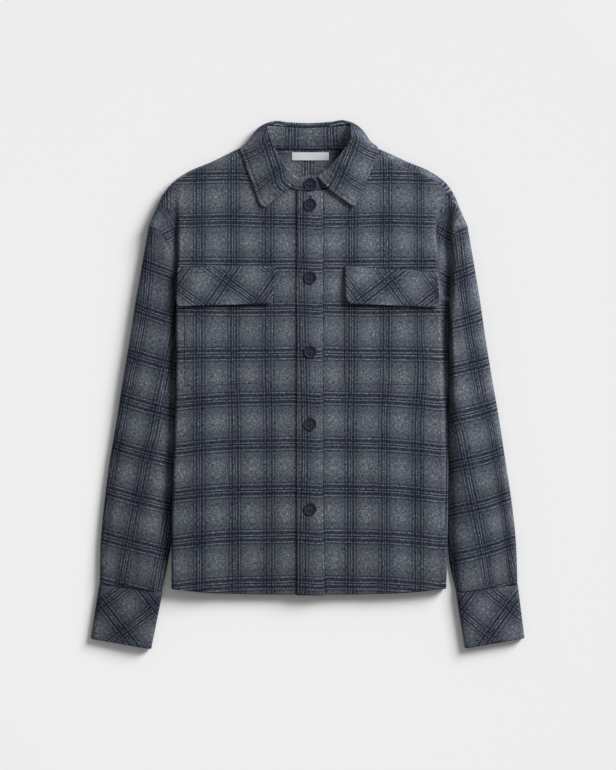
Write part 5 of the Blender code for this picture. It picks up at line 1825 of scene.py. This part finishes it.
@dataclass
class Buttons:
    """Six turned buttons with a raised rim and four holes, sewn on, and their buttonholes."""

    finishes: Finishes
    radius: float = 8.7
    height: float = 3.0
    hole: float = 1.0
    hole_place: float = 2.1
    # Steps of the rim and the dish: how far in, how far up
    steps: tuple = ((1.2, 0.0), (0.8, -0.8), (2.0, -0.1))
    edge: float = 0.45
    # Thread bars lie this far below the top and to both sides of a hole's middle
    bar_drop: float = 0.75
    bar_spread: float = 0.28
    # Buttonhole: where its ends show past the button, distance of its stitches
    hole_ends: tuple = ((6.0, 13.2), (-9.8, -6.0))
    hole_pitch: float = 0.62

    def turn(self, name: str) -> bpy.types.Object:
        """Turn one button round its own middle.

        Args:
            name: Name of the piece.

        Returns:
            The object.
        """
        bpy.ops.object.select_all(action="DESELECT")
        bpy.ops.mesh.primitive_cylinder_add(vertices=56, radius=self.radius * MM, depth=self.height * MM,
                                            location=(0.0, 0.0, self.height * MM / 2))
        button = bpy.context.object
        button.name = name
        bpy.ops.object.mode_set(mode="EDIT")
        bpy.ops.mesh.select_all(action="DESELECT")
        bpy.ops.object.mode_set(mode="OBJECT")
        for face in button.data.polygons:
            face.select = face.normal.z > 0.9
        bpy.ops.object.mode_set(mode="EDIT")
        bpy.ops.mesh.select_mode(type="FACE")
        for inset, sink in self.steps:
            bpy.ops.mesh.inset(thickness=inset * MM)
            bpy.ops.transform.translate(value=(0.0, 0.0, sink * MM))
        bpy.ops.object.mode_set(mode="OBJECT")
        for x in (-1, 1):
            for y in (-1, 1):
                self.drill(button, x * self.hole_place * MM, y * self.hole_place * MM)
        bevel = button.modifiers.new("edge", "BEVEL")
        bevel.width = self.edge * MM
        bevel.segments = 2
        bevel.limit_method = "ANGLE"
        bevel.angle_limit = math.radians(28.0)
        self.apply(button, bevel.name)
        bpy.ops.object.shade_smooth_by_angle(angle=math.radians(35.0))
        return button

    def pick(self, piece: bpy.types.Object) -> None:
        """Select one piece alone and make it active."""
        bpy.ops.object.select_all(action="DESELECT")
        piece.select_set(True)
        bpy.context.view_layer.objects.active = piece

    def apply(self, piece: bpy.types.Object, modifier: str) -> None:
        """Apply a modifier of a piece."""
        self.pick(piece)
        bpy.ops.object.modifier_apply(modifier=modifier)

    def drill(self, button: bpy.types.Object, x: float, y: float) -> None:
        """Drill one hole through a button."""
        bpy.ops.object.select_all(action="DESELECT")
        bpy.ops.mesh.primitive_cylinder_add(vertices=14, radius=self.hole * MM, depth=self.height * 3 * MM,
                                            location=(x, y, self.height * MM / 2))
        drill = bpy.context.object
        cut = button.modifiers.new("hole", "BOOLEAN")
        cut.operation = "DIFFERENCE"
        cut.object = drill
        self.apply(button, cut.name)
        bpy.data.objects.remove(drill, do_unlink=True)

    def seat_of(self, number: int) -> tuple[Array, float]:
        """Place of a button's underside, and its tilt.

        Args:
            number: Number of the button, from the top.

        Returns:
            The place in millimetres of the drawing, and the tilt.
        """
        y = BUTTON_YS[number - 1]
        if number == 1:
            low_y, low_z = STAND[1][1:3]
            top_y, top_z = STAND[1][4:6]
            slope = (top_z - low_z) / (top_y - low_y)
            z = low_z + slope * (y - low_y) + STAND_WALL / 2 + REST
            return np.array((BUTTON_X, y, z)), math.atan(slope)
        z = float(placket_height(np.array(BUTTON_X), np.array(y))) + PLACKET_WALL / 2 + REST
        return np.array((BUTTON_X, y, z)), 0.0

    def sew_on(self, middle: Array, tilt: float) -> Array:
        """Frames of the thread bars over the holes.

        Args:
            middle: Place of the button's underside.
            tilt: Tilt of the button.

        Returns:
            Middle, run, side and out direction of each bar.
        """
        up = np.array((0.0, -math.sin(tilt), math.cos(tilt)))
        run = np.array((0.0, math.cos(tilt), math.sin(tilt)))
        side = np.cross(up, run)
        frames = []
        for across in (-self.hole_place, self.hole_place):
            for beside in (-self.bar_spread, self.bar_spread):
                spot = middle + side * (across + beside) + up * (self.height - self.bar_drop)
                frames.append((spot, run, side, up))
        return np.array(frames)

    def buttonhole(self, x: float, y: float) -> list[tuple[Array, Array, Array, Array]]:
        """Frames of the whipped stitches where a buttonhole shows past its button.

        Args:
            x: Place of the button across.
            y: Place of the button along.

        Returns:
            Middle, run, side and out direction of each stitch.
        """
        frames = []
        for start, stop in self.hole_ends:
            for level in np.arange(start, stop, self.hole_pitch):
                for beside in (-1.0, 1.0):
                    spot = np.array((x + 0.3 + beside, y + level, 0.0))
                    spot[2] = float(placket_height(spot[0], spot[1])) + PLACKET_WALL / 2 + 0.1
                    frames.append((spot, *np.eye(3)))
        return frames

    def build(self) -> None:
        """Make all buttons and their threads."""
        bars = []
        holes = []
        for number in range(1, len(BUTTON_YS) + 1):
            middle, tilt = self.seat_of(number)
            button = self.turn(f"button_{number}_resin")
            button.rotation_euler[0] = tilt
            button.location = (middle + OFFSET) * MM
            self.pick(button)
            bpy.ops.object.transform_apply(location=True, rotation=True, scale=True)
            button.data.materials.clear()
            seat(button, self.finishes.slots[BUTTON])
            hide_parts(f"button_{number}")
            bars.append(self.sew_on(middle, tilt))
            if number > 1:
                holes += self.buttonhole(BUTTON_X, BUTTON_YS[number - 1])
        thread = Sewing(length=4.6).lay(np.concatenate(bars), "button_threads")
        seat(thread, self.finishes.bar)
        thread = Sewing(length=1.9, radius=0.36).lay(np.array(holes), "buttonhole_threads")
        seat(thread, self.finishes.buttonhole)


@dataclass
class Studio:
    """Pale floor, soft light and the camera over the garment."""

    distance: float = 6.0
    view_height: float = 1.078
    floor_size: float = 9.0
    ambient: float = 0.30
    lamp_place: tuple[float, float, float] = (5.0, 4.1, 3.6)
    lamp_size: float = 3.4
    lamp_power: float = 885.0
    sensor: float = 24.0
    # Millimetres the camera looks below the drawing's middle, metres to the garment's middle layer
    aim: float = -0.35
    middle: float = 0.015

    def build(self) -> None:
        """Add floor, lights and camera."""
        bpy.ops.object.select_all(action="DESELECT")
        bpy.ops.mesh.primitive_plane_add(size=self.floor_size, location=(0.0, 0.0, 0.0))
        floor = bpy.context.object
        floor.name = "studio_floor"
        floor.data.materials.append(Paper().make())
        world = bpy.data.worlds.new("studio")
        bpy.context.scene.world = world
        world.use_nodes = True
        back = world.node_tree.nodes["Background"]
        back.inputs[0].default_value = (1.0, 1.0, 1.0, 1.0)
        back.inputs[1].default_value = self.ambient
        bpy.context.scene.view_settings.view_transform = "Standard"
        self.lamp()
        data = bpy.data.cameras.new("camera")
        data.sensor_fit = "VERTICAL"
        data.sensor_height = self.sensor
        data.lens = self.sensor * self.distance / self.view_height
        data.clip_end = 50.0
        camera = bpy.data.objects.new("camera", data)
        centre = (OFFSET + np.array((0.0, self.aim, 0.0))) * MM
        camera.location = (centre[0], centre[1], self.distance + self.middle)
        bpy.context.scene.collection.objects.link(camera)
        bpy.context.scene.camera = camera

    def lamp(self) -> None:
        """Add the square soft light, aimed at the garment."""
        data = bpy.data.lights.new("key", "AREA")
        data.size = self.lamp_size
        data.energy = self.lamp_power
        light = bpy.data.objects.new("key", data)
        light.location = self.lamp_place
        aim = np.array(self.lamp_place) / np.linalg.norm(self.lamp_place)
        light.rotation_euler = (math.acos(aim[2]), 0.0, math.atan2(aim[1], aim[0]) + math.pi / 2)
        bpy.context.scene.collection.objects.link(light)


def main() -> None:
    """Build the garment's looks piece by piece."""
    logging.basicConfig(level=logging.INFO, format="%(name)s: %(message)s")
    slots = {PLAID: Flannel(PLAID), BIAS: Flannel(BIAS), BUTTON: Resin(), SATIN: Satin()}
    finishes = Finishes({slot: finish.make() for slot, finish in slots.items()}, Thread().make(),
                        Thread("dark_thread", "0C0F16", "1A1E28").make(),
                        Thread("button_thread", "1E232F", "303643").make())
    for kind in (BackAndYoke, Fronts, Sleeves, Pockets, PlacketAndCollar):
        assembly = kind(finishes)
        assembly.build()
        assembly.dress()
        LOG.info("%s done", kind.__name__)
    Buttons(finishes).build()
    LOG.info("Buttons done")
    Studio().build()


if __name__ == "__main__":
    main()
